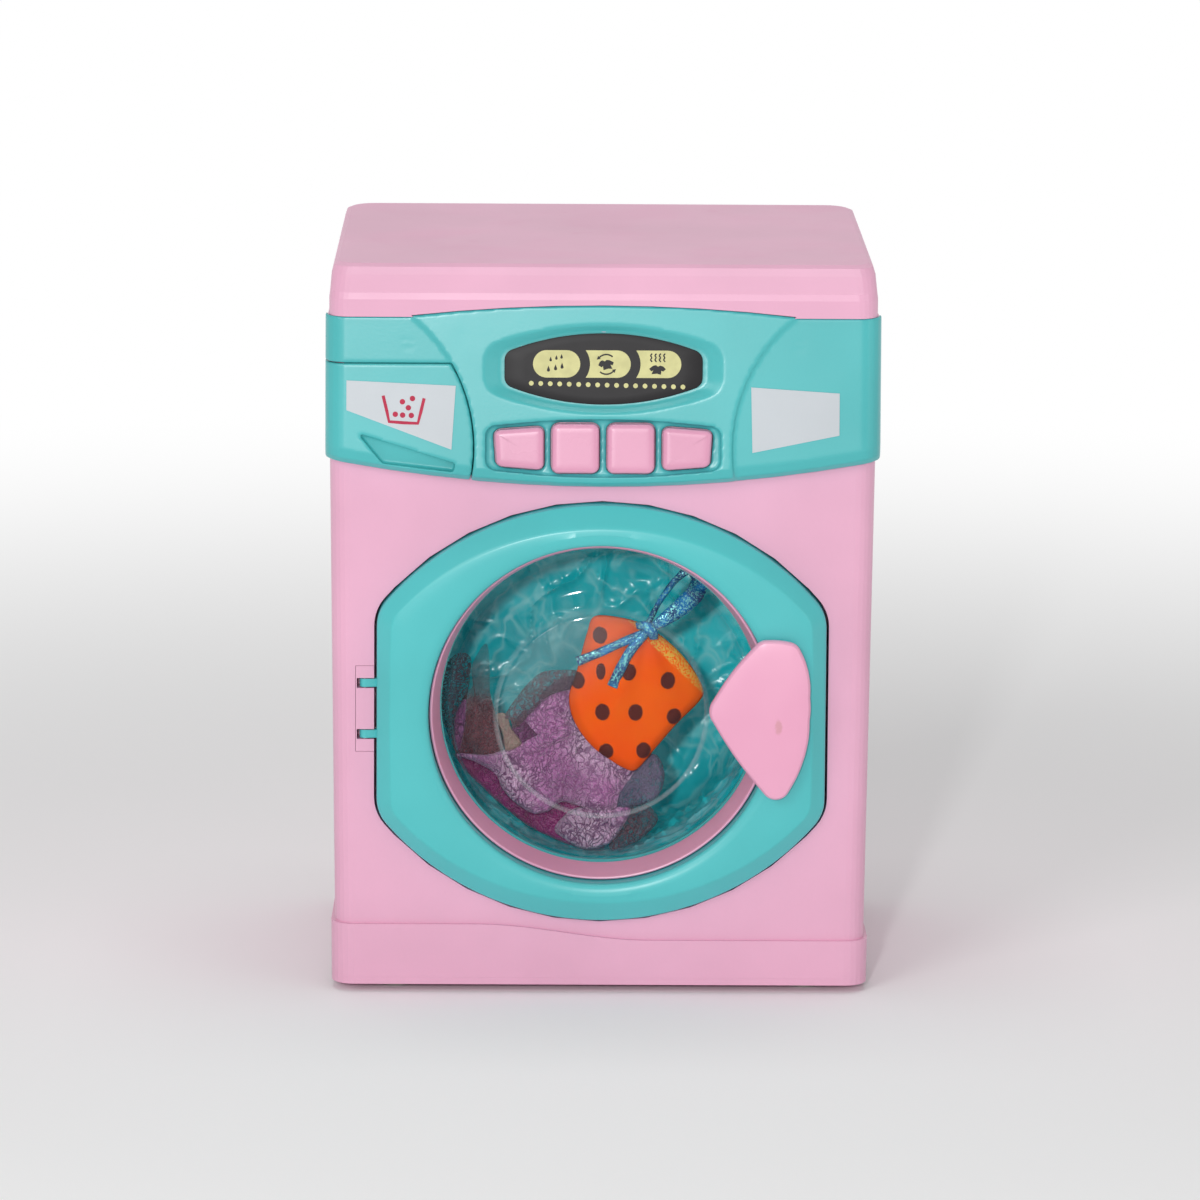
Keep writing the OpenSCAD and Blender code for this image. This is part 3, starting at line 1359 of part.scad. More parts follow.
module battery_contacts() {
    low = battery_z0 + touch;
    high = battery_z0 + box_h - touch;
    room = (box_h - battery_l) / 2;
    color(steel) for (i = [-1:1], end = [0, 1]) {
        flat_end = (i == 0) == (end == 0);
        x = i * battery_pitch;
        z = end == 0 ? low : high - 0.4;
        box([x - 5, dy(battery_mid_d() - 5), z], [x + 5, dy(battery_mid_d() + 5), z + 0.4]);
        // coil cone or stub that reaches the cell
        translate([x, dy(battery_mid_d()), end == 0 ? low + 0.4 - eps : high - 0.4 + eps])
            mirror([0, 0, end])
            cylinder(r1 = 4, r2 = flat_end ? 2 : 3, h = room - 0.4 - 0.2);
    }
}

module battery_cover() {
    gap = fit_gap;
    color(pink) difference() {
        union() {
            box([-box_half_w - cover_lip_w + gap, dy(back_d - 1.2 + touch), battery_z0 - cover_lip_w + gap],
                [box_half_w + cover_lip_w - gap, dy(back_d), battery_z0 + box_h + cover_lip_w + 6 - gap]);
            box([-box_half_w + 1, dy(back_d - wall - 0.6), battery_z0 + 1],
                [box_half_w - 1, dy(back_d - 1), battery_z0 + box_h - 1]);
        }
        box([-box_half_w + 2.6, dy(back_d - wall - 2), battery_z0 + 2.6],
            [box_half_w - 2.6, dy(back_d - 1.2), battery_z0 + box_h - 2.6]);
        bar(1.5, back_d - 3, back_d + 1, 0, battery_z0 + box_h + 5);
        // grip lines
        for (i = [0:3]) box([-12, dy(back_d - 0.4), battery_z0 + 6 + i * 2.4],
            [12, dy(back_d + 1), battery_z0 + 7 + i * 2.4]);
    }
}

module battery_cover_screw() {
    color(steel) translate([0, dy(back_d - 1.2 + touch), battery_z0 + box_h + 5]) rotate([-90, 0, 0])
        screw(1.2, 3.4, 1.4, 1.1);
}

module speaker() {
    d1 = back_d - wall - touch;
    color(black) {
        bar(speaker_r, d1 - 2.4, d1, speaker_x, speaker_z);
        bar(speaker_r * 0.62, d1 - 7, d1 - 2.4 + eps, speaker_x, speaker_z, r2 = speaker_r - 1);
        bar(speaker_r * 0.55, d1 - 10.4, d1 - 7 + eps, speaker_x, speaker_z);
    }
}

module speaker_clamp() {
    d1 = back_d - wall - 3 - touch;
    color(white_plastic) difference() {
        bar(speaker_r + 1.8, d1 - 1.2, d1, speaker_x, speaker_z);
        bar(speaker_r - 1, d1 - 3, d1 + 1, speaker_x, speaker_z);
    }
}

module power_switch_body() {
    d1 = back_d - switch_recess_d - 1.6 - touch;
    color(black) difference() {
        box([switch_x - 7, dy(d1 - 5), switch_z - 4], [switch_x + 7, dy(d1), switch_z + 4]);
        box([switch_x - 5.4, dy(d1 - 3.4), switch_z - 2.8], [switch_x + 5.4, dy(d1 + 1), switch_z + 2.8]);
    }
}

module power_switch_knob() {
    d1 = back_d - switch_recess_d - 1.6;
    x = switch_x - switch_travel / 2;
    color(black) {
        box([x - 3, dy(d1 - 3), switch_z - 2.4], [x + 3, dy(d1 - 0.6), switch_z + 2.4]);
        difference() {
            box([x - knob_w / 2, dy(d1 - 0.6 - eps), switch_z - knob_h / 2],
                [x + knob_w / 2, dy(back_d - 0.4), switch_z + knob_h / 2]);
            for (i = [-1:1]) box([x + i * 1.5 - 0.3, dy(back_d - 0.9), switch_z - knob_h],
                [x + i * 1.5 + 0.3, dy(back_d + 1), switch_z + knob_h]);
        }
    }
}

// ---------------------------------------------------------------- the nodes

front_shell();
back_shell();
base_plate();
feet();
top_cover();
case_screws();
small_screws();
control_fascia();
fascia_screws();
display_panel();
right_label();
control_board();
indicator_lamps();
button_pad();
board_screws();
button(0);  // button_1
button(1);  // button_2
button(2);  // button_3
button(3);  // button_4
drawer_housing();
detergent_drawer();
drawer_label();
door_frame();
door_ring();
door_window();
door_back();
door_screws();
hinge_block();
hinge_pin();
drum();
drum_shaft();
drum_gear();
shaft_clip();
orange_dress();
purple_dress();
blue_ribbon();
drum_frame();
frame_screws();
shaft_bush();
gear_axle();
compound_gear();
motor();
motor_shaft();
motor_pinion();
motor_plate();
motor_screws();
battery_box();
batteries();
battery_contacts();
battery_cover();
battery_cover_screw();
speaker();
speaker_clamp();
power_switch_body();
power_switch_knob();
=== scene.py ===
# %% [markdown]
# # A toy washing machine, dressed round its CAD model
# The real toy is two injection-moulded halves with a drum, a door, four sprung buttons and a little
# drawer between them. The CAD model already has every hidden gear and screw in its true place, so it is
# loaded first as a fixed frame, and this lesson only gives the pieces that a child sees their finer
# shapes and finishes.

# %% Load the frame
import bmesh
import bpy
import math
from mathutils import Matrix, Vector, geometry, noise


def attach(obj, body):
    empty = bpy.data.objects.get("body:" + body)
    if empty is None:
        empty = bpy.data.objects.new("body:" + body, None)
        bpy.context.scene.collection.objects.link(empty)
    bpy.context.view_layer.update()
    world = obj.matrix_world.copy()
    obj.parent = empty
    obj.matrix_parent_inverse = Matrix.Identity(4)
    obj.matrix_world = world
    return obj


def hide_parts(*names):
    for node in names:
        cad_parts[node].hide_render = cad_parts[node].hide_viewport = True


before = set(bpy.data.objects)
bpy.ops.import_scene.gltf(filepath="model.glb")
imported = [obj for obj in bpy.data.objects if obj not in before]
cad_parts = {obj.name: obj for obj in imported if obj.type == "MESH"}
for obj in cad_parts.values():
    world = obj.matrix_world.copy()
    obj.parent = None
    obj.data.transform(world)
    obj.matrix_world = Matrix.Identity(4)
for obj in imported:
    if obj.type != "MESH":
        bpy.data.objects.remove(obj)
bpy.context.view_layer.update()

MM = 0.001
FRONT_Y = -67.25  # the flat front of the pink shell, in mm; y grows towards the back

# %% [markdown]
# ## Camera
# A toy photographed for a shop stands far from a long lens, so that its sides hardly converge. The camera
# is therefore 3.4 m away with a 275 mm lens, a little above the toy and a hair to one side of it.

# %% Camera
def placed(name, data):
    """An object in the scene that shows this data."""
    made = bpy.data.objects.new(name, data)
    bpy.context.scene.collection.objects.link(made)
    return made


def look_from(distance, rise_deg, swing_deg, roll_deg, lens, target):
    """A camera on a sphere round the target, turned by roll about its own view line."""
    rise, swing = math.radians(rise_deg), math.radians(swing_deg)
    away = Vector((math.cos(rise) * math.sin(swing), -math.cos(rise) * math.cos(swing), math.sin(rise)))
    data = bpy.data.cameras.new("shop_camera")
    data.lens, data.sensor_width, data.clip_end = lens, 36, 50
    camera = placed("shop_camera", data)
    turn = (-away).to_track_quat("-Z", "Y").to_matrix().to_4x4()
    roll = Matrix.Rotation(math.radians(roll_deg), 4, "Z")
    camera.matrix_world = Matrix.Translation(target + away * distance) @ turn @ roll
    bpy.context.scene.camera = camera
    return camera


camera = look_from(distance=3.4, rise_deg=12.0, swing_deg=-0.7, roll_deg=0.4, lens=275.4,
                   target=Vector((-0.7, FRONT_Y, 149.6)) * MM)
print("camera at", [round(c, 3) for c in camera.matrix_world.translation])

# %% [markdown]
# ## Shader maths as Python
# A procedural finish is mostly arithmetic on masks. Wiring Math nodes by hand hides the formula, so one
# small class wraps a socket and adds the nodes whenever it is added, multiplied or raised to a power. Each
# sign needs a reflected form too, for an expression such as 1 - mask, where the number comes first.

# %% Sockets with arithmetic
def both_ways(operation):
    """The methods of one sign: wire and other, then other and wire."""
    return (lambda wire, other: wire.math(operation, wire, other),
            lambda wire, other: wire.math(operation, other, wire))


class Wire:
    """A node's output; arithmetic on it adds Math nodes."""

    __add__, __radd__ = both_ways("ADD")
    __sub__, __rsub__ = both_ways("SUBTRACT")
    __mul__, __rmul__ = both_ways("MULTIPLY")
    __truediv__, __rtruediv__ = both_ways("DIVIDE")
    __pow__, __rpow__ = both_ways("POWER")

    def __init__(self, finish, socket):
        self.finish, self.socket = finish, socket

    def math(self, operation, *values):
        return self.finish.node("ShaderNodeMath", {"operation": operation}, dict(enumerate(values)))

    def __abs__(self):
        return self.math("ABSOLUTE", self)

    def sine(self):
        return self.math("SINE", self)

    def least(self, other):
        return self.math("MINIMUM", self, other)

    def most(self, other):
        return self.math("MAXIMUM", self, other)

    def ramp(self, low, high, start=0.0, end=1.0):
        """start at low, end at high, and a smooth S between them."""
        return self.finish.node("ShaderNodeMapRange", {"interpolation_type": "SMOOTHSTEP"}, {
            "Value": self, "From Min": low, "From Max": high, "To Min": start, "To Max": end})

    def part(self, output):
        """Another output of the same node."""
        return Wire(self.finish, self.socket.node.outputs[output])


print("a wire answers to + - * / ** and abs")

# %% [markdown]
# ## Materials as trees of nodes
# A material is a tree of nodes that ends in an output, and so is the light of the world. One class holds the
# tree. Each node in it comes from one method, which takes the type, the settings, and then the values or
# wires of the sockets; the other methods are small groups of nodes that several finishes of this toy share.

# %% Node trees
def srgb(red, green, blue):
    """A colour as a paint chart gives it, 0 to 255, in the linear light that shaders use."""
    linear = [((c / 255 + 0.055) / 1.055) ** 2.4 if c > 10 else c / 255 / 12.92 for c in (red, green, blue)]
    return (*linear, 1.0)


class Finish:
    """One material, or the world; every node in it comes from node()."""

    def __init__(self, name, kind=bpy.data.materials):
        self.made = kind.new(name)
        self.made.use_nodes = True
        self.tree = self.made.node_tree
        self.tree.nodes.clear()

    def node(self, kind, settings=None, inputs=None):
        made = self.tree.nodes.new(kind)
        for key, value in (settings or {}).items():
            setattr(made, key, value)
        for key, value in (inputs or {}).items():
            if isinstance(value, Wire):
                self.tree.links.new(value.socket, made.inputs[key])
            else:
                made.inputs[key].default_value = value
        return Wire(self, made.outputs[0]) if made.outputs else None

    def place(self):
        """Where a point is in the toy, in metres: it stays with the piece when the piece moves."""
        return self.node("ShaderNodeTexCoord").part("Object")

    def axes(self, vector):
        split = self.node("ShaderNodeSeparateXYZ", None, {0: vector})
        return [split.part(axis) for axis in range(3)]

    def stretched(self, vector, factors):
        return self.node("ShaderNodeVectorMath", {"operation": "MULTIPLY"}, {0: vector, 1: factors})

    def noise(self, scale, detail, vector):
        return self.node("ShaderNodeTexNoise", None, {"Vector": vector, "Scale": scale, "Detail": detail})

    def stirred(self, vector, scale, detail, reach):
        """The place, pushed about by the colours of a noise, so that what is drawn on it swirls."""
        push = self.noise(scale, detail, vector).part("Color")
        return self.node("ShaderNodeVectorMath", {"operation": "MULTIPLY_ADD"},
                         {0: push, 1: (reach, reach, reach), 2: vector})

    def cracks(self, scale, vector):
        """0 on the edges between irregular cells, and more inside them."""
        return self.node("ShaderNodeTexVoronoi", {"feature": "DISTANCE_TO_EDGE"},
                         {"Vector": vector, "Scale": scale})

    def mixed(self, factor, first, second):
        """Colours mixed in a Mix node, because a Math node would turn them grey. Its inputs 6 and 7 and its
        output 2 are the colour ones."""
        return self.node("ShaderNodeMix", {"data_type": "RGBA"}, {0: factor, 6: first, 7: second}).part(2)

    def bump(self, height, distance_mm, strength=1.0):
        return self.node("ShaderNodeBump", None, {
            "Height": height, "Distance": distance_mm * MM, "Strength": strength})

    def surface(self, **inputs):
        """The usual shader; underscores in the names stand for spaces."""
        named = {key.replace("_", " "): value for key, value in inputs.items()}
        return self.shown(self.node("ShaderNodeBsdfPrincipled", None, named))

    def shown(self, shader, output="ShaderNodeOutputMaterial"):
        """Ends the tree with this shader."""
        self.node(output, None, {"Surface": shader})
        return self.made


print("a mid grey is", [round(c, 3) for c in srgb(128, 128, 128)[:3]])

# %% [markdown]
# ## Floor
# The toy stands on white card. The card fades into pure white away from the toy, so no horizon shows, while
# the diffuse part near the toy keeps its shadow.

# %% Floor
CARD_FADE = (0.3, 1.1)  # metres from the toy at which the card starts to glow and is pure white
CARD_HALF = 9


def white_card():
    finish = Finish("white_card")
    x, y, _ = finish.axes(finish.place())
    far = (x * x + y * y) ** 0.5
    card = finish.node("ShaderNodeBsdfDiffuse", None, {"Color": srgb(250, 250, 250)})
    glow = finish.node("ShaderNodeEmission", None, {"Color": (1, 1, 1, 1), "Strength": 1.0})
    return finish.shown(finish.node("ShaderNodeMixShader", None, {0: far.ramp(*CARD_FADE), 1: card, 2: glow}))


floor_mesh = bpy.data.meshes.new("floor")
floor_mesh.from_pydata([(x * CARD_HALF, y * CARD_HALF, 0) for x, y in ((-1, -1), (1, -1), (1, 1), (-1, 1))],
                       [], [(0, 1, 2, 3)])
floor_mesh.materials.append(white_card())
floor = placed("floor", floor_mesh)
print("floor laid")

# %% [markdown]
# ## Light
# Three big soft boxes light the toy evenly, and one small lamp near the camera puts short bright glints on
# its edges. The world adds a little more from all sides. Gloss, clear plastic and the camera see the world
# lighter than it shines, as they would see the white walls of a studio.

# %% Light
WORLD_LEVEL = 0.42


def soft_box(name, place, size, watts):
    data = bpy.data.lights.new(name, "AREA")
    data.shape, data.size, data.energy = "SQUARE", size, watts
    lamp = placed(name, data)
    lamp.location = place
    lamp.rotation_euler = (Vector((0, 0, 0.13)) - Vector(place)).to_track_quat("-Z", "Y").to_euler()


soft_box("key_box", (-1.2, -1.9, 1.35), 0.9, 11.5)
soft_box("fill_box", (1.7, -1.7, 0.8), 1.2, 4)
soft_box("top_box", (0.0, 0.15, 2.0), 1.1, 10)
soft_box("flash", (-0.25, -2.35, 0.74), 0.1, 17.4)

studio = Finish("studio", bpy.data.worlds)
ray = studio.node("ShaderNodeLightPath")
seen = ray.part("Is Camera Ray").most(ray.part("Is Glossy Ray")).most(ray.part("Is Transmission Ray"))
sky = studio.node("ShaderNodeBackground", None, {"Strength": seen.ramp(0.0, 1.0, WORLD_LEVEL, 1.0)})
bpy.context.scene.world = studio.shown(sky, "ShaderNodeOutputWorld")
bpy.context.scene.view_settings.view_transform = "Standard"
print("lamps and world set")

# %% [markdown]
# ## Moulded plastic
# The shell is glossy ABS. Seen close, such a part is not one flat colour: the pigment is slightly uneven,
# the mould leaves a fine grain, and handling leaves dull patches and hairline scratches. All four are made
# from noise in the toy's own coordinates, so they are at their real size on every piece.

# %% Plastic finishes
GRAIN = 900       # noise cells in a metre: the mould's grain is about a millimetre wide
GRAIN_MM = 0.012  # and this deep


def moulded(name, colour, roughness, uneven=0.035, **more):
    finish = Finish(name)
    where = finish.place()
    cloudy = finish.noise(18, 3, where)
    speckle = finish.noise(GRAIN, 2, where)
    darker = tuple(c * (1 - 3 * uneven) for c in colour[:3]) + (1,)
    tint = finish.mixed(cloudy.ramp(0.25, 0.75) * 0.8 + speckle * 0.2, darker, colour)
    scratch = finish.noise(60, 4, finish.stretched(where, (1.0, 1.0, 14.0))).ramp(0.66, 0.74)
    dull = finish.noise(35, 4, where).ramp(0.4, 0.75)
    return finish.surface(Base_Color=tint, Roughness=roughness + dull * 0.07 + scratch * 0.06,
                          Normal=finish.bump(speckle + cloudy * 6, GRAIN_MM), **more)


def swirled_teal():
    """Teal with long pale wisps painted in as the bright streaks that light draws on its ripples: a painted
    highlight.
    """
    finish = Finish("drum_teal")
    where = finish.place()
    bent = finish.stirred(where, 34, 2, 0.05)
    # painted highlight: pale streaks painted into the colour, which also lift the bump a little
    painted_highlight_streak = (1 - abs(finish.noise(58, 2, bent) - 0.5) * 11).most(0.0) ** 1.5
    deep = finish.noise(22, 3, where).ramp(0.3, 0.7)
    tint = finish.mixed(deep, srgb(14, 190, 200), srgb(52, 224, 230))
    tint = finish.mixed(painted_highlight_streak * 0.5, tint, srgb(170, 240, 240))
    return finish.surface(Base_Color=tint, Roughness=0.2 + deep * 0.08,
                          Normal=finish.bump(finish.noise(GRAIN, 2, where) + painted_highlight_streak * 2, 0.02))


print("the mould's grain is", GRAIN_MM, "mm deep")

# %% [markdown]
# ## One finish for each slot
# Each piece of the CAD model has a slot that names its finish. The plain ones differ only in colour and
# roughness, so a table holds these two, and every slot of the frame is filled from it.

# %% Finishes by slot
PLASTICS = {  # red, green, blue and roughness
    "pink_shell": (235, 176, 203, 0.34), "button_pink": (225, 158, 187, 0.26),
    "turquoise": (82, 196, 198, 0.3), "black_plastic": (38, 36, 38, 0.45),
    "label_grey": (195, 201, 206, 0.35), "white_plastic": (236, 234, 228, 0.4),
    "pale_rubber": (200, 198, 190, 0.65), "battery_wrap": (70, 74, 84, 0.35),
    "orange_cloth": (250, 105, 20, 0.8), "purple_cloth": (130, 60, 125, 0.7),
    "blue_cloth": (25, 105, 180, 0.5)}
METALS = {"steel": (190, 190, 194, 0.3), "motor_can": (160, 162, 166, 0.35), "brass": (210, 170, 96, 0.3)}

finishes = {"drum_teal": swirled_teal(), "board_green": moulded("board_green", srgb(36, 108, 62), 0.4, 0.08)}
for table, more in ((PLASTICS, {}), (METALS, {"Metallic": 1.0})):
    for name, (*tone, roughness) in table.items():
        finishes[name] = moulded(name, srgb(*tone), roughness, **more)
finishes["clear_window"] = moulded("clear_window", srgb(235, 245, 246), 0.06, Transmission_Weight=1.0, IOR=1.3)
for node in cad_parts.values():
    for slot in node.material_slots:
        slot.material = finishes[slot.material.name.split(".")[0]]
print("finishes:", len(finishes))

# %% [markdown]
# ## Pieces from rings
# Almost everything here is a skin over rings of points: a ring goes round the outline of a piece, the next
# one is a little further in or out, and faces join them. It is how a mould maker reads a section, and it
# keeps every edge radius a plain number.

# %% Rings to meshes
DOOR_Z = 107.0  # height of the door's centre


def spot(x, z, depth):
    """A point in mm; depth is measured back from the flat front of the shell."""
    return (x, FRONT_Y + depth, z)


def door_spot(x, z, depth):
    """The same, with the height measured from the door's centre."""
    return spot(x, DOOR_Z + z, depth)


def loft(rings, joined=False, capped=True, strip=False):
    """A skin over rings of equal length. joined closes a tube of rings; a strip's rings stay open."""
    count = len(rings[0])
    points = [point for ring in rings for point in ring]
    faces = []
    for k in range(len(rings) if joined else len(rings) - 1):
        low, high = k * count, (k + 1) % len(rings) * count
        for i in range(count - 1 if strip else count):
            j = (i + 1) % count
            faces.append((low + i, low + j, high + j, high + i))
    if capped and not joined and not strip:
        faces += [tuple(range(count)), tuple(range(len(points) - count, len(points)))]
    return points, faces


def merged(*shapes):
    points, faces = [], []
    for more_points, more_faces in shapes:
        start = len(points)
        points += list(more_points)
        faces += [tuple(i + start for i in face) for face in more_faces]
    return points, faces


def piece(name, shape, body, slot, finish=None, replaces=(), crease=30):
    """A mesh object from points in mm, riding on a body, with rounded shading below the crease angle."""
    points, faces = shape
    mesh = bpy.data.meshes.new(name)
    mesh.from_pydata([Vector(point) * MM for point in points], [], faces)
    work = bmesh.new()
    work.from_mesh(mesh)
    bmesh.ops.remove_doubles(work, verts=work.verts, dist=2e-6)
    bmesh.ops.recalc_face_normals(work, faces=work.faces)
    work.to_mesh(mesh)
    work.free()
    mesh.shade_smooth()
    mesh.set_sharp_from_angle(angle=math.radians(crease))
    mesh.materials.append(finish or finishes[slot])
    made = placed(name, mesh)
    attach(made, body)
    if replaces:
        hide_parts(*replaces)
    print(name, len(mesh.polygons), "faces")
    return made


print("a cube has", len(loft([[(0, 0, 0)] * 4] * 2)[1]), "faces")

# %% [markdown]
# ## Outlines
# The rings themselves come from a few plain moves: equal steps round a circle, an outline moved in, and an
# outline with its points spread evenly, so that rings of one piece always have the same number of points.

# %% Outline helpers
def turns(count):
    """Angles in equal steps, once round."""
    return [math.tau * i / count for i in range(count)]


def arc_points(x, z, radius, angles):
    return [(x + radius * math.cos(a), z + radius * math.sin(a)) for a in angles]


def turned(profile, sides):
    """Rings of a turned shape about the drum's axis; profile holds (radius, depth)."""
    return [[spot(x, z, depth) for x, z in arc_points(0, DOOR_Z, radius, turns(sides))]
            for radius, depth in profile]


def direction(start, end):
    """The way from start to end, as a step of length 1."""
    x, z = end[0] - start[0], end[1] - start[1]
    length = math.hypot(x, z) or 1.0
    return x / length, z / length


def inward(outline, inset):
    """An anticlockwise closed outline moved in by inset."""
    moved = []
    for i, (x, z) in enumerate(outline):
        along_x, along_z = direction(outline[i - 1], outline[(i + 1) % len(outline)])
        moved.append((x - along_z * inset, z + along_x * inset))
    return moved


def evenly(outline, count):
    """The same closed outline with count points at equal steps."""
    ends = outline[1:] + outline[:1]
    lengths = [math.dist(a, b) for a, b in zip(outline, ends)]
    total, walked, i, result = sum(lengths), 0.0, 0, []
    for k in range(count):
        goal = total * k / count
        while walked + lengths[i] < goal:
            walked += lengths[i]
            i += 1
        share = (goal - walked) / (lengths[i] or 1.0)
        result.append(tuple(a + (b - a) * share for a, b in zip(outline[i], ends[i])))
    return result


def clamped(value):
    return max(0.0, min(1.0, value))


print("a square spread over 8 points:", evenly([(0, 0), (1, 0), (1, 1), (0, 1)], 8))

# %% [markdown]
# ## Door frame
# The turquoise frame is a barrel: straight sides, bowed top and bottom, and a round hole. Every ring is
# drawn in polar form from the door's centre, so that the barrel can melt into the circle without a seam.
# Its rim has a wide bevel that catches the sky, a crisp crease, and a face that rolls over at the hole.

# %% Door frame outline
DOOR_HALF_W, DOOR_HALF_H, DOOR_ARC, DOOR_CORNER = 83.3, 79.0, 105.0, 15.0
HOLE = 64.1


def barrel_reach(turn, inset):
    """How far the barrel's outline is from its middle in the direction turn."""
    across, up = abs(math.cos(turn)), abs(math.sin(turn))
    arc, corner = DOOR_ARC - inset, DOOR_CORNER - inset

    def on_circle(x, z, radius):
        along = x * across + z * up
        return along + math.sqrt(max(0.0, along * along - x * x - z * z + radius * radius))

    corner_x, drop = DOOR_HALF_W - DOOR_CORNER, DOOR_HALF_H - DOOR_ARC
    corner_z = drop + math.sqrt((DOOR_ARC - DOOR_CORNER) ** 2 - corner_x ** 2)
    side = (DOOR_HALF_W - inset) / max(across, 1e-6)
    if side * up <= corner_z:
        return side
    bend = math.atan2(corner_z - drop, corner_x)
    bend_end = math.atan2(drop + arc * math.sin(bend), arc * math.cos(bend))
    if math.atan2(up, across) < bend_end:
        return on_circle(corner_x, corner_z, corner)
    return on_circle(0, drop, arc)


def frame_ring(share, depth, inset=0.0, grow=0.0):
    """One ring: share goes from the barrel, 0, to the hole grown by grow, 1. The inset, and so the bevel, is
    wider above and below than at the sides."""
    ring = []
    for turn in turns(360):
        outer = barrel_reach(turn, min(inset * (0.68 + 0.42 * math.sin(turn) ** 2), 14))
        reach = outer + (HOLE + grow - outer) * share
        ring.append(door_spot(reach * math.cos(turn), reach * math.sin(turn), depth))
    return ring


print("the frame's half width and height:", [round(barrel_reach(turn, 0), 1) for turn in (0, math.pi / 2)])

# %% [markdown]
# ## Frame section and hinge arms
# The section is a short table: it runs from the foot up the outer bevel, over the crest, down into the hole
# and back inside the wall. Two small arms with round knuckles reach to the hinge pin at the left.

# %% Door frame
FRAME_SECTION = (  # share, depth, inset, grow
    (0, 13.2, 0), (0, -2.0, 0), (0, -2.6, 0.25), (0, -3.1, 0.9), (0, -7.2, 6.5), (0, -7.7, 7.2), (0, -7.9, 8),
    (0.3, -8.05, 8), (1, -8.1, 8, 4.4), (1, -8.0, 8, 3.3), (1, -7.8, 8, 2.2), (1, -7.4, 8, 1.2),
    (1, -6.9, 8, 0.45), (1, -6.3, 8, 0.1), (1, -5.2, 8), (1, 1.6, 8), (0.9, 1.6, 8), (0.86, -4.6, 8),
    (0.3, -5.4, 8), (0, -4, 8), (0, 0, 2.4), (0, 13.2, 2.4))
HINGE_X, HINGE_D, KNUCKLE = -87.7, 2.2, 2


def upright(outline, low, high):
    """A plate between two heights; its outline is (x, depth) pairs seen from above."""
    return loft([[spot(x, z, depth) for x, depth in outline] for z in (low, high)])


arm = [(HINGE_X + KNUCKLE * math.cos(a), HINGE_D - KNUCKLE * math.sin(a))
       for a in (math.radians(70 + 10 * i) for i in range(23))]
arm += [(-82.6, HINGE_D + 1.6), (-82.6, HINGE_D - 1.4)]
arms = [upright(arm, z - 1.5, z + 1.5) for z in (98.3, 117.7)]
piece("door_frame_barrel", merged(loft([frame_ring(*ring) for ring in FRAME_SECTION], joined=True), *arms),
      "door", "turquoise", replaces=["door_frame"], crease=28)

# %% [markdown]
# ## Ring and handle
# The pink ring and its handle come out of one mould. The ring is a funnel that leads the eye in to the
# window; the handle is a soft three-cornered shield, and it is the pull that a child grips.

# %% Door ring and handle
RING_SECTION = (
    (63.8, 1.6), (63.8, -0.2), (63.6, -0.9), (63.2, -1.2), (62.8, -1.1), (62.5, -0.6), (62.4, 0.2),
    (62.3, 0.9), (62.1, 1.6), (61.7, 3.4), (60.8, 7.4), (59.9, 11.0), (60.1, 11.4), (61.2, 11.4), (63.4, 3.0))
HANDLE_KNOTS = ((61, 24.6, 5.4), (68.6, 24.2, 5.2), (71.6, 17, 5), (72, 8, 5.2), (71.9, 0, 5.2),
                (70.6, -12, 5.2), (64.8, -25, 5.4), (46.5, 3, 6.6))
HANDLE_SECTION = ((1.2, -9.3), (0.3, -9.6), (0, -10.4), (0, -11.6), (0.25, -12.5), (0.9, -13.2), (1.9, -13.5))


def strung(knots):
    """The outline that a string pulled round discs (x, z, radius) takes, with long sides a little bowed."""
    loop = []
    for turn in turns(400):
        x, z, radius = max(knots, key=lambda k: k[0] * math.cos(turn) + k[1] * math.sin(turn) + k[2])
        loop += arc_points(x, z, radius, [turn])
    bowed = []
    for (x0, z0), (x1, z1) in zip(loop, loop[1:] + loop[:1]):
        length = math.hypot(x1 - x0, z1 - z0)
        along_x, along_z = direction((x0, z0), (x1, z1))
        steps = max(1, round(length / 0.8))
        for share in (k / steps for k in range(steps)):
            bow = 0.9 * math.sin(math.pi * share) * min(1.0, length / 25)
            bowed.append((x0 + (x1 - x0) * share + along_z * bow, z0 + (z1 - z0) * share - along_x * bow))
    return bowed


def pillow(outline, section, crown=0.0, place=door_spot):
    """A solid with this outline; section holds (inset, depth) from its back to its front, then a low crown."""
    rings = [[place(x, z, depth) for x, z in inward(outline, inset)] for inset, depth in section]
    inset, front = section[-1]
    rim = inward(outline, inset)
    mid_x, mid_z = (sum(v) / len(rim) for v in zip(*rim))
    for share in (0.8, 0.6, 0.4, 0.2, 0.0):
        depth = front - crown * (1 - share * share)
        rings.append([place(mid_x + (x - mid_x) * share, mid_z + (z - mid_z) * share, depth) for x, z in rim])
    return loft(rings)


handle = pillow(evenly(strung(HANDLE_KNOTS), 200), HANDLE_SECTION, crown=0.5)
stem = [(62.2, -9.5), (63.7, -9.5), (63.7, -0.5), (62.2, -0.5)]
stems = [upright(stem, DOOR_Z + z - 2.5, DOOR_Z + z + 2.5) for z in (-12, 0, 12)]
print("handle:", len(handle[0]), "points")

# %% [markdown]
# ## The ring's finish
# The same moulded look in a brighter pink. A faint brown mark on the handle is where the plastic flowed into
# the mould; its edge is the distance to one point, bent by noise.

# %% Ring finish
GATE_X, GATE_Z = 65.6, 104.6


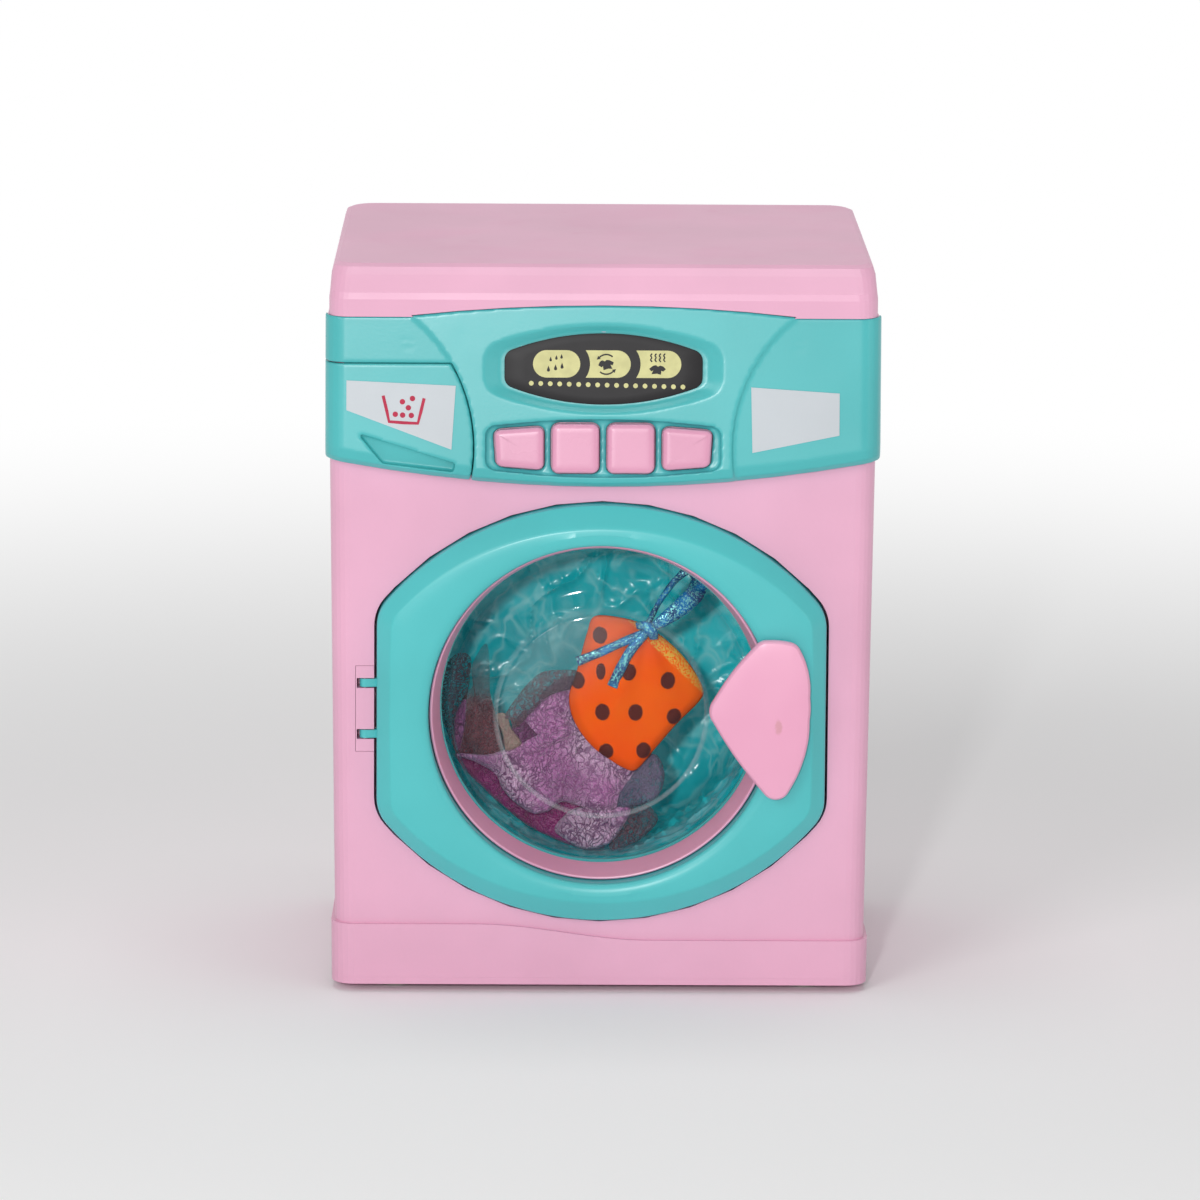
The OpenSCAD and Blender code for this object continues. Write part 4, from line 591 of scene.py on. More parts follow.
def handle_pink():
    finish = Finish("ring_pink")
    where = finish.place()
    x, _, z = finish.axes(where)
    across, up = (x / MM - GATE_X) ** 2 * 0.5, (z / MM - GATE_Z) ** 2 * 0.12
    gate = (across + up + finish.noise(700, 2, where) * 1.5) ** 0.5
    cloudy = finish.noise(16, 3, where)
    base = finish.mixed(cloudy.ramp(0.25, 0.75), srgb(234, 164, 194), srgb(242, 176, 203))
    tint = finish.mixed(gate.ramp(1.0, 1.5, 0.45, 0.0), base, srgb(196, 140, 132))
    rough = 0.3 + finish.noise(30, 4, where).ramp(0.45, 0.75) * 0.08
    return finish.surface(Base_Color=tint, Roughness=rough,
                          Normal=finish.bump(finish.noise(GRAIN, 2, where) + cloudy * 8, GRAIN_MM))


piece("door_ring_pink", merged(loft(turned(RING_SECTION, 240), joined=True), handle, *stems),
      "door", "button_pink", handle_pink(), replaces=["door_ring"])

# %% [markdown]
# ## Window
# The window is one thin clear shell: a flange that the door clamps, a bowl that bulges towards the child,
# and a raised round middle. Real refraction through a thin shell hardly bends the view, but it stops
# direct light in a path tracer. So the plastic is a see-through shader with a gloss that grows with the slant.

# %% Door window
STEP_STARTS, STEP_ENDS = (37.9, 38.5), (40.0, 40.6)  # radii of the slope round the raised middle


def clear_plastic():
    finish = Finish("clear_window")
    where = finish.place()
    x, _, z = finish.axes(where)
    radius = (x * x + (z - DOOR_Z * MM) ** 2) ** 0.5 / MM
    # The slope round the raised middle is real, but the extra and paler gloss on it is a painted reflection
    # that draws a bright ring line.
    step = radius.ramp(*STEP_STARTS) * radius.ramp(*STEP_ENDS, 1.0, 0.0)
    smear = finish.noise(22, 4, where).ramp(0.5, 0.8)
    through = finish.node("ShaderNodeBsdfTransparent", None, {"Color": (0.985, 0.995, 0.995, 1)})
    gloss = finish.node("ShaderNodeBsdfPrincipled", None, {
        "Base Color": finish.mixed(step, (0.6, 0.63, 0.65, 1), (0.8, 0.86, 0.87, 1)), "Metallic": 1 - step,
        "Roughness": 0.05 + smear * 0.06, "Normal": finish.bump(finish.noise(30, 2, where), 0.25)})
    slope = finish.node("ShaderNodeLayerWeight", None, {"Blend": 0.5}).part("Facing")
    # middle is a painted reflection: a pale sheen of extra gloss inside the raised middle, growing towards its
    # upper left.
    middle = radius.ramp(37.0, 38.5, 1.0, 0.0) * (z / MM - DOOR_Z - x / MM * 0.6).ramp(4.0, 46.0)
    amount = (slope ** 3 * 0.5 + 0.008 + smear * 0.006 + step * slope ** 1.5 * 0.2 + middle * 0.09).least(0.8)
    return finish.shown(finish.node("ShaderNodeMixShader", None, {0: amount, 1: through, 2: gloss}))


def shelled(profile, thickness):
    """The profile and its copy one thickness behind it, as one closed section."""
    back = []
    for i, (radius, depth) in enumerate(profile):
        out, along = direction(profile[max(i - 1, 0)], profile[min(i + 1, len(profile) - 1)])
        back.append((max(0.0, radius + along * thickness), depth - out * thickness))
    return profile + back[::-1]


bowl = [(61.4, 11.45), (58.4, 11.42)]
bowl += [(42.2 + 15.2 * math.cos(a), 11.4 - 12.4 * math.sin(a)) for a in map(math.radians, range(4, 91, 4))]
bowl += [(40.9, -1.05), (40.3, -1.25), (39.9, -1.7), (38.5, -4.5), (38.1, -5.0), (37.5, -5.3), (36.7, -5.4),
         (35.6, -5.3), (34.6, -5.1), (30, -5.1), (19.4, -5.22), (9, -5.34), (0, -5.4)]
piece("door_window_bowl", loft(turned(shelled(bowl, 1.3), 240), joined=True), "door", "clear_window",
      clear_plastic(), replaces=["door_window"])

# %% [markdown]
# ## Drum
# The drum is a thin teal tub. Its wall was pulled over a mould by vacuum and has long soft ripples, which
# is why the light swims in it like water. The ripples are real displacement: waves along a noise field
# that is bent by a second noise, deepest on the back and calm near the mouth.

# %% Drum
noise.seed_set(11)  # the bending noise starts from the clock otherwise, and each run would differ
RIPPLE = 2.2
DRUM_OUTSIDE = [(0, 89.3), (52, 89.3), (61, 88), (65.2, 83), (66, 76), (66, 25.5), (65, 23.5), (64, 21.4)]


def swim(x, z, level):
    """Ripple height, 0 to 1, at a place on the drum's inside; the level says how far back it is."""
    bend = noise.noise_vector(Vector((x, z, level * 9)) * 0.034) * 22
    long_wave = 1 - abs(noise.noise(Vector((x + bend.x, z + bend.y, level * 9)) * 0.062)) * 3.4
    short_wave = 1 - abs(noise.noise(Vector((x - bend.y * 0.7, z + bend.x, level * 9 + 40)) * 0.12)) * 3.0
    return max(0.0, long_wave) ** 2 * 0.75 + max(0.0, short_wave) ** 2 * 0.24


def drum_shape(sides=420):
    inside = [(62.6, 21.4, 0), (62.6, 22.6, 0), (63.4, 24.2, 0)]  # radius, depth and share of the ripples
    inside += [(64.0 - 0.02 * d, 24.2 + d, min(1.0, d / 22)) for d in range(2, 50, 2)]
    inside += [(radius, depth, 1) for radius, depth in
               arc_points(52.4, 76.4, 10.6, [math.radians(7.5 * i) for i in range(13)])]
    inside += [(51.4 * (1 - i / 46), 87.0, min(1, 1.4 - i / 46)) for i in range(47)]
    rings = []
    for radius, depth, rippled in inside:
        on_wall = clamped((radius - 50) / 13.5)
        ring = []
        for x, z in arc_points(0, 0, radius, turns(sides)):
            lift = RIPPLE * rippled * swim(x, z, depth * 0.4 if depth < 76 else 12.0)
            inner = 1 - lift * on_wall / max(radius, 1)
            ring.append(door_spot(x * inner, z * inner, depth - lift * (1 - on_wall)))
        rings.append(ring)
    return loft(rings + turned(DRUM_OUTSIDE, sides), joined=True)


piece("drum_tub", drum_shape(), "drum_unit", "drum_teal", replaces=["drum"], crease=40)

# %% [markdown]
# ## Cloth
# A doll's dress is a single layer of cloth that lies in folds. Each garment is a fan of rings from a middle
# point out to its hem, pushed forward by folds that run from where it is gathered, and curled back at the
# hem. It gets its thickness last. Simulation would settle it differently on each change of the drum, and
# this garment has to keep the place that the photograph gives it.

# %% Cloth sheets
def flowing(corners, steps=6):
    """A closed smooth curve through given corners."""
    curve, count = [], len(corners)
    for i in range(count):
        p0, p1, p2, p3 = (corners[(i + k - 1) % count] for k in range(4))
        for t in (step / steps for step in range(steps)):
            curve.append(tuple(0.5 * (
                2 * b + (c - a) * t + (2 * a - 5 * b + 4 * c - d) * t * t + (3 * b - a - 3 * c + d) * t ** 3)
                for a, b, c, d in zip(p0, p1, p2, p3)))
    return curve


def draped(corners, middle, depth, folds, curl, rim=180, rings=44):
    """A sheet from its middle out to its hem; folds(x, z, share) lifts it and curl bends its hem back."""
    hem = evenly(flowing(corners), rim)
    levels = []
    for share in (k / rings for k in range(rings + 1)):
        back = curl * max(0.0, (share - 0.82) / 0.18) ** 2
        ring = []
        for x, z in hem:
            px, pz = middle[0] + (x - middle[0]) * share, middle[1] + (z - middle[1]) * share
            ring.append(door_spot(px, pz, depth + back - folds(px, pz, share)))
        levels.append(ring)
    return loft(levels, capped=False)


def creases(x, z, size, seed):
    """Sharp-edged folds as crumpled thin cloth has; their crests are at 1."""
    where = Vector((x / size, z / size, seed))
    bend = noise.noise_vector(where * 0.6)
    return 1 - abs(noise.noise(where + bend * 0.9)) * 2.4


print("a square hem of", len(flowing(((0, 0), (1, 0), (1, 1), (0, 1)))), "points")

# %% [markdown]
# ## Sewing
# A sheet was cut flat and has a thickness, and the script prints both: the flat size of the cut, and the area
# of the single layer, which is measured on the finished folds before the cloth gets its thickness.

# %% Sewn sheets
def applied(made, kind, **settings):
    """Gives the piece a modifier and makes it real at once."""
    modifier = made.modifiers.new(kind.lower(), kind)
    for key, value in settings.items():
        setattr(modifier, key, value)
    bpy.context.view_layer.objects.active = made
    bpy.ops.object.modifier_apply(modifier=modifier.name)


def spread(shape):
    """The area in square metres of faces given in mm."""
    points, faces = shape
    total = 0.0
    for face in faces:
        corner = Vector(points[face[0]])
        for b, c in zip(face[1:], face[2:]):
            total += (Vector(points[b]) - corner).cross(Vector(points[c]) - corner).length / 2
    return total * MM * MM


def sewn(name, shape, thick, slot, finish, cut, replaces=()):
    """A sheet that lies in the drum; it is given its thickness here, and its area and the size it was cut to
    are printed.
    """
    area = spread(shape)
    made = piece(name, shape, "drum_unit", slot, finish, replaces, crease=75)
    applied(made, "SOLIDIFY", thickness=thick * MM, offset=0.0)
    print(f"  {name}: cloth {area * 1e4:.1f} cm2 from a cut of {cut[0] * 100:.1f} by {cut[1] * 100:.1f} cm")


print("a square millimetre is", spread(([(0, 0, 0), (1, 0, 0), (1, 1, 0), (0, 1, 0)], [(0, 1, 2, 3)])), "m2")

# %% [markdown]
# ## Orange spotted cotton
# Bright orange cotton with brown spots. The weave is two crossed waves at a third of a millimetre, and the
# spots are cut from distances to their centres, each edge a little frayed by noise. A yellow overlock stitch
# runs along the hem at the upper right.

# %% Orange cotton
SPOTS = ((-0.3, 23.9), (0.1, 10.0), (-8.6, 6.3), (10.6, 10.2), (25.2, 6.8), (0.8, -5.2), (13.2, -5.5),
         (27.6, -7.0), (2.3, -20.7), (16.3, -20.3))
FOLDED_SPOT = (0.1, 10.0)  # half of this one is in a fold, so it looks narrower
THREADS = 12


def spotted_cotton():
    finish = Finish("orange_cotton")
    where = finish.place()
    x, _, z = finish.axes(where)
    x, z = x / MM, z / MM - DOOR_Z
    nearest = None
    for middle in SPOTS:
        squeeze = 0.55 if middle == FOLDED_SPOT else 0.85
        far = ((x - middle[0]) ** 2 / squeeze ** 2 + (z - middle[1]) ** 2) ** 0.5
        nearest = far if nearest is None else nearest.least(far)
    inked = (nearest + finish.noise(GRAIN, 2, where) * 0.7).ramp(3.35, 3.75, 1.0, 0.0)
    weave = ((x + z) * THREADS).sine() * ((x - z) * THREADS).sine()
    cloudy = finish.noise(60, 4, where)
    orange = finish.mixed(cloudy.ramp(0.3, 0.75), srgb(255, 88, 0), srgb(255, 104, 8))
    cloth = finish.mixed(inked, orange, srgb(92, 38, 34))
    past_edge = z + x * 0.98 - 40.4
    overlock = past_edge.ramp(-1.9, -0.9) * finish.noise(1500, 3, where).ramp(0.44, 0.54)
    cloth = finish.mixed(overlock * 0.8, cloth, srgb(240, 200, 84))
    return finish.surface(Base_Color=cloth, Roughness=0.78 + weave * 0.04, Specular_IOR_Level=0.15,
                          Normal=finish.bump(weave + cloudy * 3, 0.03, 0.8))


cotton = spotted_cotton()
print("cotton:", len(SPOTS), "spots")

# %% [markdown]
# ## Orange dress
# The ribbon ties the bodice at the upper right. So the pleats fan out from there, deepen on the way down and
# fade near the hem, and the cloth is pinched in at the knot.

# %% Orange dress
DRESS = ((-2.3, 30.5), (7.0, 30.0), (16.8, 26.6), (26.2, 20.0), (33.5, 12.0), (38.3, 3.0), (37.0, -1.8),
         (28.7, -10.2), (20.6, -20.0), (13.6, -28.2), (9.0, -27.6), (4.6, -24.9), (-1.9, -20.0), (-7.5, -13.4),
         (-10.7, -6.9), (-11.6, -0.3), (-10.3, 4.6), (-8.3, 11.2), (-6.7, 17.8), (-4.9, 24.3))
KNOT_X, KNOT_Z = 17.0, 26.0


def dress_folds(x, z, share):
    """Folds run down from where the ribbon ties the bodice."""
    away_x, away_z = x - KNOT_X, z - KNOT_Z
    turn, far = math.atan2(away_z, away_x), math.hypot(away_x, away_z)
    pleats = math.sin(turn * 9 + 0.8) * min(1.0, far / 14) * (1.0 - 0.4 * share)
    waist = 1.6 * math.exp(-far * far / 60)
    return 1.6 * (1 - share * share) + 0.75 * pleats + 0.5 * creases(x, z, 24, 3) - waist


sewn("orange_dress_cotton", draped(DRESS, (11, 0), 25.6, dress_folds, 2.5), 0.4, "orange_cloth", cotton,
     (0.058, 0.068), ["orange_dress"])

# %% [markdown]
# ## Purple organza
# Organza is a thin shiny cloth. This one was crushed on purpose: the shade in its thin wrinkles is painted
# dark, and the glints of the threads between them are painted lilac specks. Where it is turned over, the
# satin side is smooth wine red. Frills of net and of sheer film stick out of it. The openings of the net are
# real transparency, and not paint.

# %% Organza finishes
def organza(name, base, bright, crease_shade_colour, crease_shade=0.9, painted_glints=1.0, sheer=1.0, net=0.0, thin_above=None):
    """sheer is how much of the light the cloth stops between its threads; net opens holes in it, and above
    the height thin_above the cloth frays out."""
    finish = Finish(name)
    where = finish.place()
    bent = finish.stirred(where, 150, 3, 0.012)
    long_way = finish.stretched(bent, (1.0, 1.0, 0.34))
    coarse, close = finish.cracks(460, long_way), finish.cracks(980, long_way)
    patchy = finish.noise(75, 3, where).ramp(0.38, 0.62)
    # The dark lines are creases, and the shade in them is painted into the colour; the tucked patches are
    # painted fold shade. The crease mask also makes the cloth denser.
    crease_mask_painted_shade = (1 - coarse.ramp(0.03, 0.2)).most((1 - close.ramp(0.0, 0.22)) * 0.6) * (patchy * 0.3 + 0.7)
    painted_fold_shade = finish.noise(30, 3, finish.stretched(bent, (1.0, 1.0, 0.55))).ramp(0.34, 0.5, 1.0, 0.0)
    # Pale specks painted in as the glints of shiny threads; the threads there are also a little smoother.
    shine_and_painted_glint = finish.noise(1900, 3, where).ramp(0.46, 0.74) * painted_glints
    broad = finish.noise(38, 3, where).ramp(0.36, 0.66)
    tint = finish.mixed((broad * 0.6 + shine_and_painted_glint * 0.5).least(1.0), base, bright)
    tint = finish.mixed(crease_mask_painted_shade.most(painted_fold_shade * 0.7) * crease_shade, tint, crease_shade_colour)
    height = coarse.ramp(0.0, 0.35) + close.ramp(0.0, 0.3) * 0.4 + shine_and_painted_glint * 0.3
    extra = {}
    if net or sheer < 1:
        holes = 1 - finish.cracks(760, bent).ramp(0.03, 0.16) * net
        cover = holes * (sheer + crease_mask_painted_shade * (1 - sheer)) + shine_and_painted_glint * 0.08
        if thin_above is not None:
            up = finish.axes(where)[2] / MM - DOOR_Z + finish.noise(110, 3, where) * 16 - 8
            cover = cover * up.ramp(thin_above, thin_above + 16, 1.0, 0.3)
        extra["Alpha"] = cover.least(1.0)
    return finish.surface(Base_Color=tint, Roughness=0.42 - shine_and_painted_glint * 0.12, Sheen_Weight=0.3,
                          Normal=finish.bump(height, 0.45, 0.9), **extra)


crushed = organza("purple_organza", srgb(196, 118, 180), srgb(255, 226, 246), srgb(84, 12, 80))
# Dark purple for the hollows of the dress: painted shade.
painted_shade_cloth = organza("purple_painted_shade", srgb(104, 34, 88), srgb(176, 110, 166), srgb(58, 8, 52), painted_glints=0.7)
satin = organza("wine_satin", srgb(118, 14, 84), srgb(156, 40, 122), srgb(70, 0, 46), 0.25, 0.3)
brown_sheer = organza("brown_sheer", srgb(116, 40, 60), srgb(164, 96, 104), srgb(64, 10, 30), sheer=0.62,
                      net=0.3, thin_above=-10)
beige_sheer = organza("beige_sheer", srgb(176, 148, 132), srgb(206, 186, 168), srgb(140, 104, 100), sheer=0.5)
mauve_net = organza("mauve_net", srgb(92, 92, 112), srgb(134, 112, 132), srgb(92, 34, 50), sheer=0.2, net=0.5)
teal_net = organza("teal_net", srgb(24, 60, 72), srgb(70, 96, 106), srgb(60, 20, 40), sheer=0.8, net=0.95)
grey_film = organza("grey_film", srgb(92, 84, 116), srgb(186, 170, 196), srgb(60, 44, 84), 0.6, sheer=0.22)
print("organza finishes ready")

# %% [markdown]
# ## Folds of the purple dress
# The layers lie on each other, so one field of folds serves them all: if each had its own, they would cut
# through one another. The folds come out from under the orange dress, and one deep tuck crosses them.

# %% Purple folds
ROOT_X, ROOT_Z = 10, 2  # where the folds start
TUCK_X, TUCK_Z, TUCK_WAY = -26, -24.7, (16.6, 8.5)  # the tuck's lower end, and its way from there


def cloth_lie(x, z, share):
    """Sharp folds fan out from under the orange dress towards the lower left."""
    turn, far = math.atan2(ROOT_Z - z, ROOT_X - x), math.hypot(ROOT_X - x, ROOT_Z - z)
    fan = 1 - 2 * abs(math.sin(turn * 5 + 0.8 * math.sin(turn * 3)))
    along = creases(turn * 26, far * 0.45, 9, 7)
    way_x, way_z = TUCK_WAY
    on_tuck = clamped(((x - TUCK_X) * way_x + (z - TUCK_Z) * way_z) / (way_x ** 2 + way_z ** 2))
    tuck = math.exp(-((x - TUCK_X - way_x * on_tuck) ** 2 + (z - TUCK_Z - way_z * on_tuck) ** 2) / 2.2)
    return (1.1 * fan + 1.0 * along) * min(1.0, far / 24) + 0.4 * creases(x, z, 6, 21) - 1.7 * tuck


print("the cloth's height in the tuck and beside it:", [round(cloth_lie(-20, z, 0), 1) for z in (-21.6, -25)])

# %% [markdown]
# ## Purple dress
# The dress is a heap of sheets: the skirt, its satin side, a hem, dark sheets of painted shade in its hollows,
# frills and net. Each row gives a sheet its finish, its depth in the drum, its middle, how far its hem curls
# back, and its corners.

# %% Purple dress
GARMENT = (
    ("purple_skirt", crushed, 31.0, (-14, -24), 1.8, (
        (-53.9, -23.6), (-45.5, -26.9), (-39, -31.1), (-36.6, -36.5), (-32.5, -41.6), (-25.4, -46.2),
        (-19.5, -45.6), (-14.2, -42), (-8, -43.2), (-1.8, -44.6), (5.9, -44), (8, -38.4), (13.4, -30),
        (16, -20), (6, -2), (-6, 2.2), (-10.6, 2.4), (-15.4, 1.4), (-22.8, -3.2), (-28.4, -9.6), (-25.8, -12),
        (-22.8, -14.4), (-28.8, -18.8), (-36, -21.8), (-44.3, -23.6))),
    ("skirt_satin_side", satin, 34.4, (-26, -44), 3.0, (
        (-54.2, -23.8), (-51.4, -29.3), (-45.5, -35.6), (-39, -42.3), (-32.5, -48.2), (-24.2, -53.6),
        (-12.4, -58.9), (-3, -61), (4, -58), (6, -46), (0, -38), (-14, -34), (-26, -36), (-36, -29),
        (-45, -25.4))),
    ("skirt_hem", crushed, 32.8, (-2, -51), 1.6, (
        (-16.8, -52.6), (-10.6, -45.4), (-3.6, -43.6), (3.3, -43.4), (11.8, -44.6), (8.8, -51.6), (4.1, -57.7),
        (-5.3, -60.1), (-12.4, -56.9))),
    # The next two sheets are dark cloth laid where the skirt lies in shade, a painted shade; the fold by the
    # left frill wears the same painted shade finish.
    ("skirt_painted_shade_low", painted_shade_cloth, 32.4, (-27, -14), 1.6, (
        (-32.9, -13), (-28.2, -7), (-22, -9), (-19, -14.2), (-24, -20), (-29, -20), (-32.4, -17.4))),
    ("skirt_painted_shade_high", painted_shade_cloth, 32.2, (-14, 2), 1.6, (
        (-22.9, -2.6), (-15.8, 4.9), (-7.5, 6), (-6.6, 1.5), (-12, -3), (-17, -5))),
    ("left_frill", brown_sheer, 32.4, (-45, -14), 1.6, (
        (-50.9, -1.5), (-47.5, 3), (-48.2, 8.8), (-46.3, 13.8), (-42.7, 18.6), (-41.6, 9.8), (-41.4, 0.5),
        (-39.4, -8), (-36.2, -21.6), (-44.3, -25.6), (-53.9, -23.4), (-54.8, -13.6))),
    ("left_frill_fold", painted_shade_cloth, 31.2, (-52.2, -12), 1.0, (
        (-50.3, -2.5), (-50.7, -12.4), (-52.7, -21.8), (-54.4, -19.6), (-54.5, -10.6), (-52.6, -4.6))),
    ("left_net", teal_net, 34.2, (-55, -3), 1.2, (
        (-60.6, 6.4), (-57.6, 10.8), (-52.8, 14.4), (-48.6, 12.6), (-49.2, 3.3), (-50.6, -4), (-54, -9),
        (-54.6, -21), (-57.6, -15), (-60.4, -6))),
    ("beige_strip", beige_sheer, 31.0, (-34.6, -15), 1.0, (
        (-38.8, -8.6), (-35.1, -8.2), (-33.4, -13.6), (-29.4, -19.4), (-34.9, -22), (-36.4, -16))),
    ("middle_frill", mauve_net, 30.0, (-22, 0), 1.6, (
        (-36.2, -9.4), (-30.8, -1.2), (-27.2, 3.6), (-21.9, 8), (-15.4, 9), (-7.4, 8.4), (-8, 3.6), (-16, 0.6),
        (-21.5, -3), (-27, -8.4), (-31.8, -13.4), (-33.6, -10.4))),
    ("low_frill_net", mauve_net, 34.0, (12, -51), 1.6, (
        (9.4, -44.4), (17.1, -43.4), (22, -48.8), (18, -55), (11.2, -59), (4.1, -60.2), (5.6, -52))),
    ("right_film", grey_film, 32.4, (14, -34), 1.6, (
        (9.6, -29.3), (19.8, -23.4), (24.2, -30), (22.6, -38.6), (17.1, -42.8), (4.9, -44), (6.1, -36.7))),
)
for name, finish, depth, middle, curl, hem in GARMENT:
    wide, long = (max(axis) - min(axis) for axis in zip(*hem))
    big = name == "purple_skirt"
    sheet = draped(hem, middle, depth, cloth_lie, curl, rim=260 if big else 130, rings=60 if big else 26)
    sewn(name, sheet, 0.3, "purple_cloth", finish, (max(0.011, wide * 1.15 * MM), long * 1.15 * MM),
         ["purple_dress"] if big else ())

# %% [markdown]
# ## Ribbon
# A narrow glitter ribbon is knotted round the bodice; two tails hang down and a loop stands up to the right.
# A ribbon is a strip swept along a smooth line, a little wider where it lies flat.

# %% Blue ribbon
def glitter_ribbon():
    finish = Finish("blue_glitter")
    where = finish.place()
    grains = finish.node("ShaderNodeTexVoronoi", {"feature": "F1"}, {"Vector": where, "Scale": 2600.0})
    sparkle = finish.noise(1500, 2, where).ramp(0.53, 0.6)
    tint = finish.mixed(finish.noise(160, 2, where).ramp(0.35, 0.65), srgb(0, 58, 112), srgb(0, 122, 186))
    tint = finish.mixed(sparkle, tint, srgb(140, 228, 226))
    return finish.surface(Base_Color=tint, Roughness=0.5 - sparkle * 0.3, Metallic=sparkle * 0.5,
                          Normal=finish.bump(grains.part("Color"), 0.08, 0.8))


def strip(path, steps=16, passes=24):
    """A ribbon's faces along given (x, z, depth, half width) points."""
    smooth = [tuple(a + (b - a) * (k / steps) for a, b in zip(start, end))
              for start, end in zip(path, path[1:]) for k in range(steps)] + [path[-1]]
    for _ in range(passes):
        inner = [tuple((a + 2 * b + c) / 4 for a, b, c in zip(*trio))
                 for trio in zip(smooth, smooth[1:], smooth[2:])]
        smooth = [smooth[0], *inner, smooth[-1]]
    rows = []
    for i, (x, z, depth, half) in enumerate(smooth):
        along_x, along_z = direction(smooth[max(i - 1, 0)], smooth[min(i + 1, len(smooth) - 1)])
        wave = 0.25 * math.sin(i * 0.35)
        rows.append([spot(x - along_z * half * s, DOOR_Z + z + along_x * half * s,
                          depth - 0.5 * (1 - s * s) + wave * s) for s in (-1, -0.5, 0, 0.5, 1)])
    return loft(rows, strip=True)


TAILS = (
    ((17.4, 25.6, 24.6, 1.5), (8.6, 21.8, 23.4, 1.6), (0.5, 18.0, 23.2, 1.6), (-8.8, 14.0, 23.8, 1.8)),
    ((17.4, 25.7, 24.2, 1.6), (11.0, 18.6, 22.8, 1.8), (7.0, 10.9, 22.8, 1.9), (4.4, 4.6, 23.2, 2.0)),
    ((17.0, 25.0, 24.2, 1.2), (22.0, 29.1, 23.6, 2.2), (28.5, 33.6, 24.0, 3.3), (35.5, 39.6, 26.5, 3.6),
     (37.2, 44.5, 31.0, 3.0), (33.0, 47.5, 35.0, 1.6), (27.5, 43.0, 34.0, 1.2), (21.5, 35.1, 31.0, 1.0),
     (17.0, 26.4, 27.0, 1.0)),
    ((13.2, 27.6, 24.4, 1.2), (16.4, 28.4, 22.2, 1.9), (19.4, 25.8, 22.0, 2.1), (19.8, 22.6, 24.2, 1.4)))
sewn("blue_ribbon_glitter", merged(*[strip(path) for path in TAILS]), 0.25, "blue_cloth", glitter_ribbon(),
     (0.012, 0.09), ["blue_ribbon"])

# %% [markdown]
# ## Places on the front panels
# The panels lean back by seven or eight degrees. What is printed on them is drawn flat, as on paper, and a
# place on the paper is then turned into a place on the panel, a little off its face or a little below it.

# %% Print and panel helpers
TILT = math.radians(82)
PANEL_FOOT = 198.7  # height at which the panels start to lean


def panel_spot(x, z, sink):
    """A place on the leaning centre panel: at height z, sunk below its face."""
    up = (z - PANEL_FOOT) / math.sin(TILT)
    return spot(x, PANEL_FOOT + up * math.sin(TILT) - sink * math.cos(TILT),
                -9.5 + up * math.cos(TILT) + sink * math.sin(TILT))


def side_spot(x, z, lift):
    """A place on the leaning side panels, lifted off their face."""
    return spot(x, z, -(7.7 - (z - PANEL_FOOT) * 0.1187) - lift)


def printed(outlines, place, low, high):
    """Flat prints between two heights off a face; place(x, z, height) maps them to it."""
    shapes = []
    for outline in outlines:
        count = len(outline)
        flat = [Vector((x, z, 0)) for x, z in outline]
        fan = [tuple(face) for face in geometry.tessellate_polygon([flat])]
        points = [place(x, z, height) for height in (high, low) for x, z in outline]
        faces = fan + [tuple(i + count for i in face[::-1]) for face in fan]
        faces += [(i, (i + 1) % count, (i + 1) % count + count, i + count) for i in range(count)]
        shapes.append((points, faces))
    return merged(*shapes)


def disc(x, z, across):
    return arc_points(x, z, across / 2, turns(20))


def stroke(path, width, smooth=0):
    """The outline of a line of this width along points."""
    for _ in range(smooth):
        cut = [tuple(u * (1 - share) + v * share for u, v in zip(a, b))
               for a, b in zip(path, path[1:]) for share in (0.25, 0.75)]
        path = [path[0], *cut, path[-1]]
    left, right = [], []
    for i, (x, z) in enumerate(path):
        along_x, along_z = direction(path[max(i - 1, 0)], path[min(i + 1, len(path) - 1)])
        turn_x, turn_z = -along_z * width / 2, along_x * width / 2
        left.append((x + turn_x, z + turn_z))
        right.append((x - turn_x, z - turn_z))
    return right + left[::-1]


print("the top of the centre panel is at", [round(c, 1) for c in panel_spot(0, 255, 0)])

# %% [markdown]
# ## Display plate
# The display is a black plate let into a recess of the fascia. Its outline is a barrel that lies on its
# side, and its edge is hardly rounded, because it was punched from sheet.

# %% Display plate
DISPLAY_Z = 237.3


def plate_outline(half_w, half_h, arc, corner):
    """A lying barrel: flat ends, bowed long sides and round corners."""
    corner_x, drop = half_w - corner, half_h - arc
    corner_z = drop + math.sqrt((arc - corner) ** 2 - corner_x ** 2)
    bend = math.atan2(corner_z - drop, corner_x)
    top = arc_points(0, drop, arc, [bend + (math.pi - 2 * bend) * i / 40 for i in range(41)])
    right = arc_points(corner_x, corner_z, corner, [bend * i / 8 for i in range(8)])
    upper = right + top + [(-x, z) for x, z in right[::-1]]
    return evenly(upper + [(-x, -z) for x, z in upper], 160)


def ink(name, colour, roughness=0.5):
    """Matt screen print; the ink is thicker in some places."""
    finish = Finish(name)
    where = finish.place()
    cloudy = finish.noise(200, 3, where)
    tint = finish.mixed(cloudy.ramp(0.3, 0.7), colour, tuple(c * 0.86 for c in colour[:3]) + (1,))
    return finish.surface(Base_Color=tint, Roughness=roughness, Specular_IOR_Level=0.25,
                          Normal=finish.bump(finish.noise(1500, 2, where), 0.01))


plate = pillow([(x, z + DISPLAY_Z) for x, z in plate_outline(36.5, 13, 97, 4)],
               ((0, 2.18), (0, 1.5), (0.12, 1.33), (0.35, 1.26)), place=panel_spot)
black_film = ink("display_black", srgb(30, 28, 30), 0.42)
piece("display_plate_black", plate, "cabinet", "black_plastic", black_film, replaces=["display_panel"])

# %% [markdown]
# ## Display windows
# Three pale windows and a row of dots are printed on the plate. Each print is a film with its own edge, so
# that it stays sharp close up. The two right windows have a bite out of their left ends.

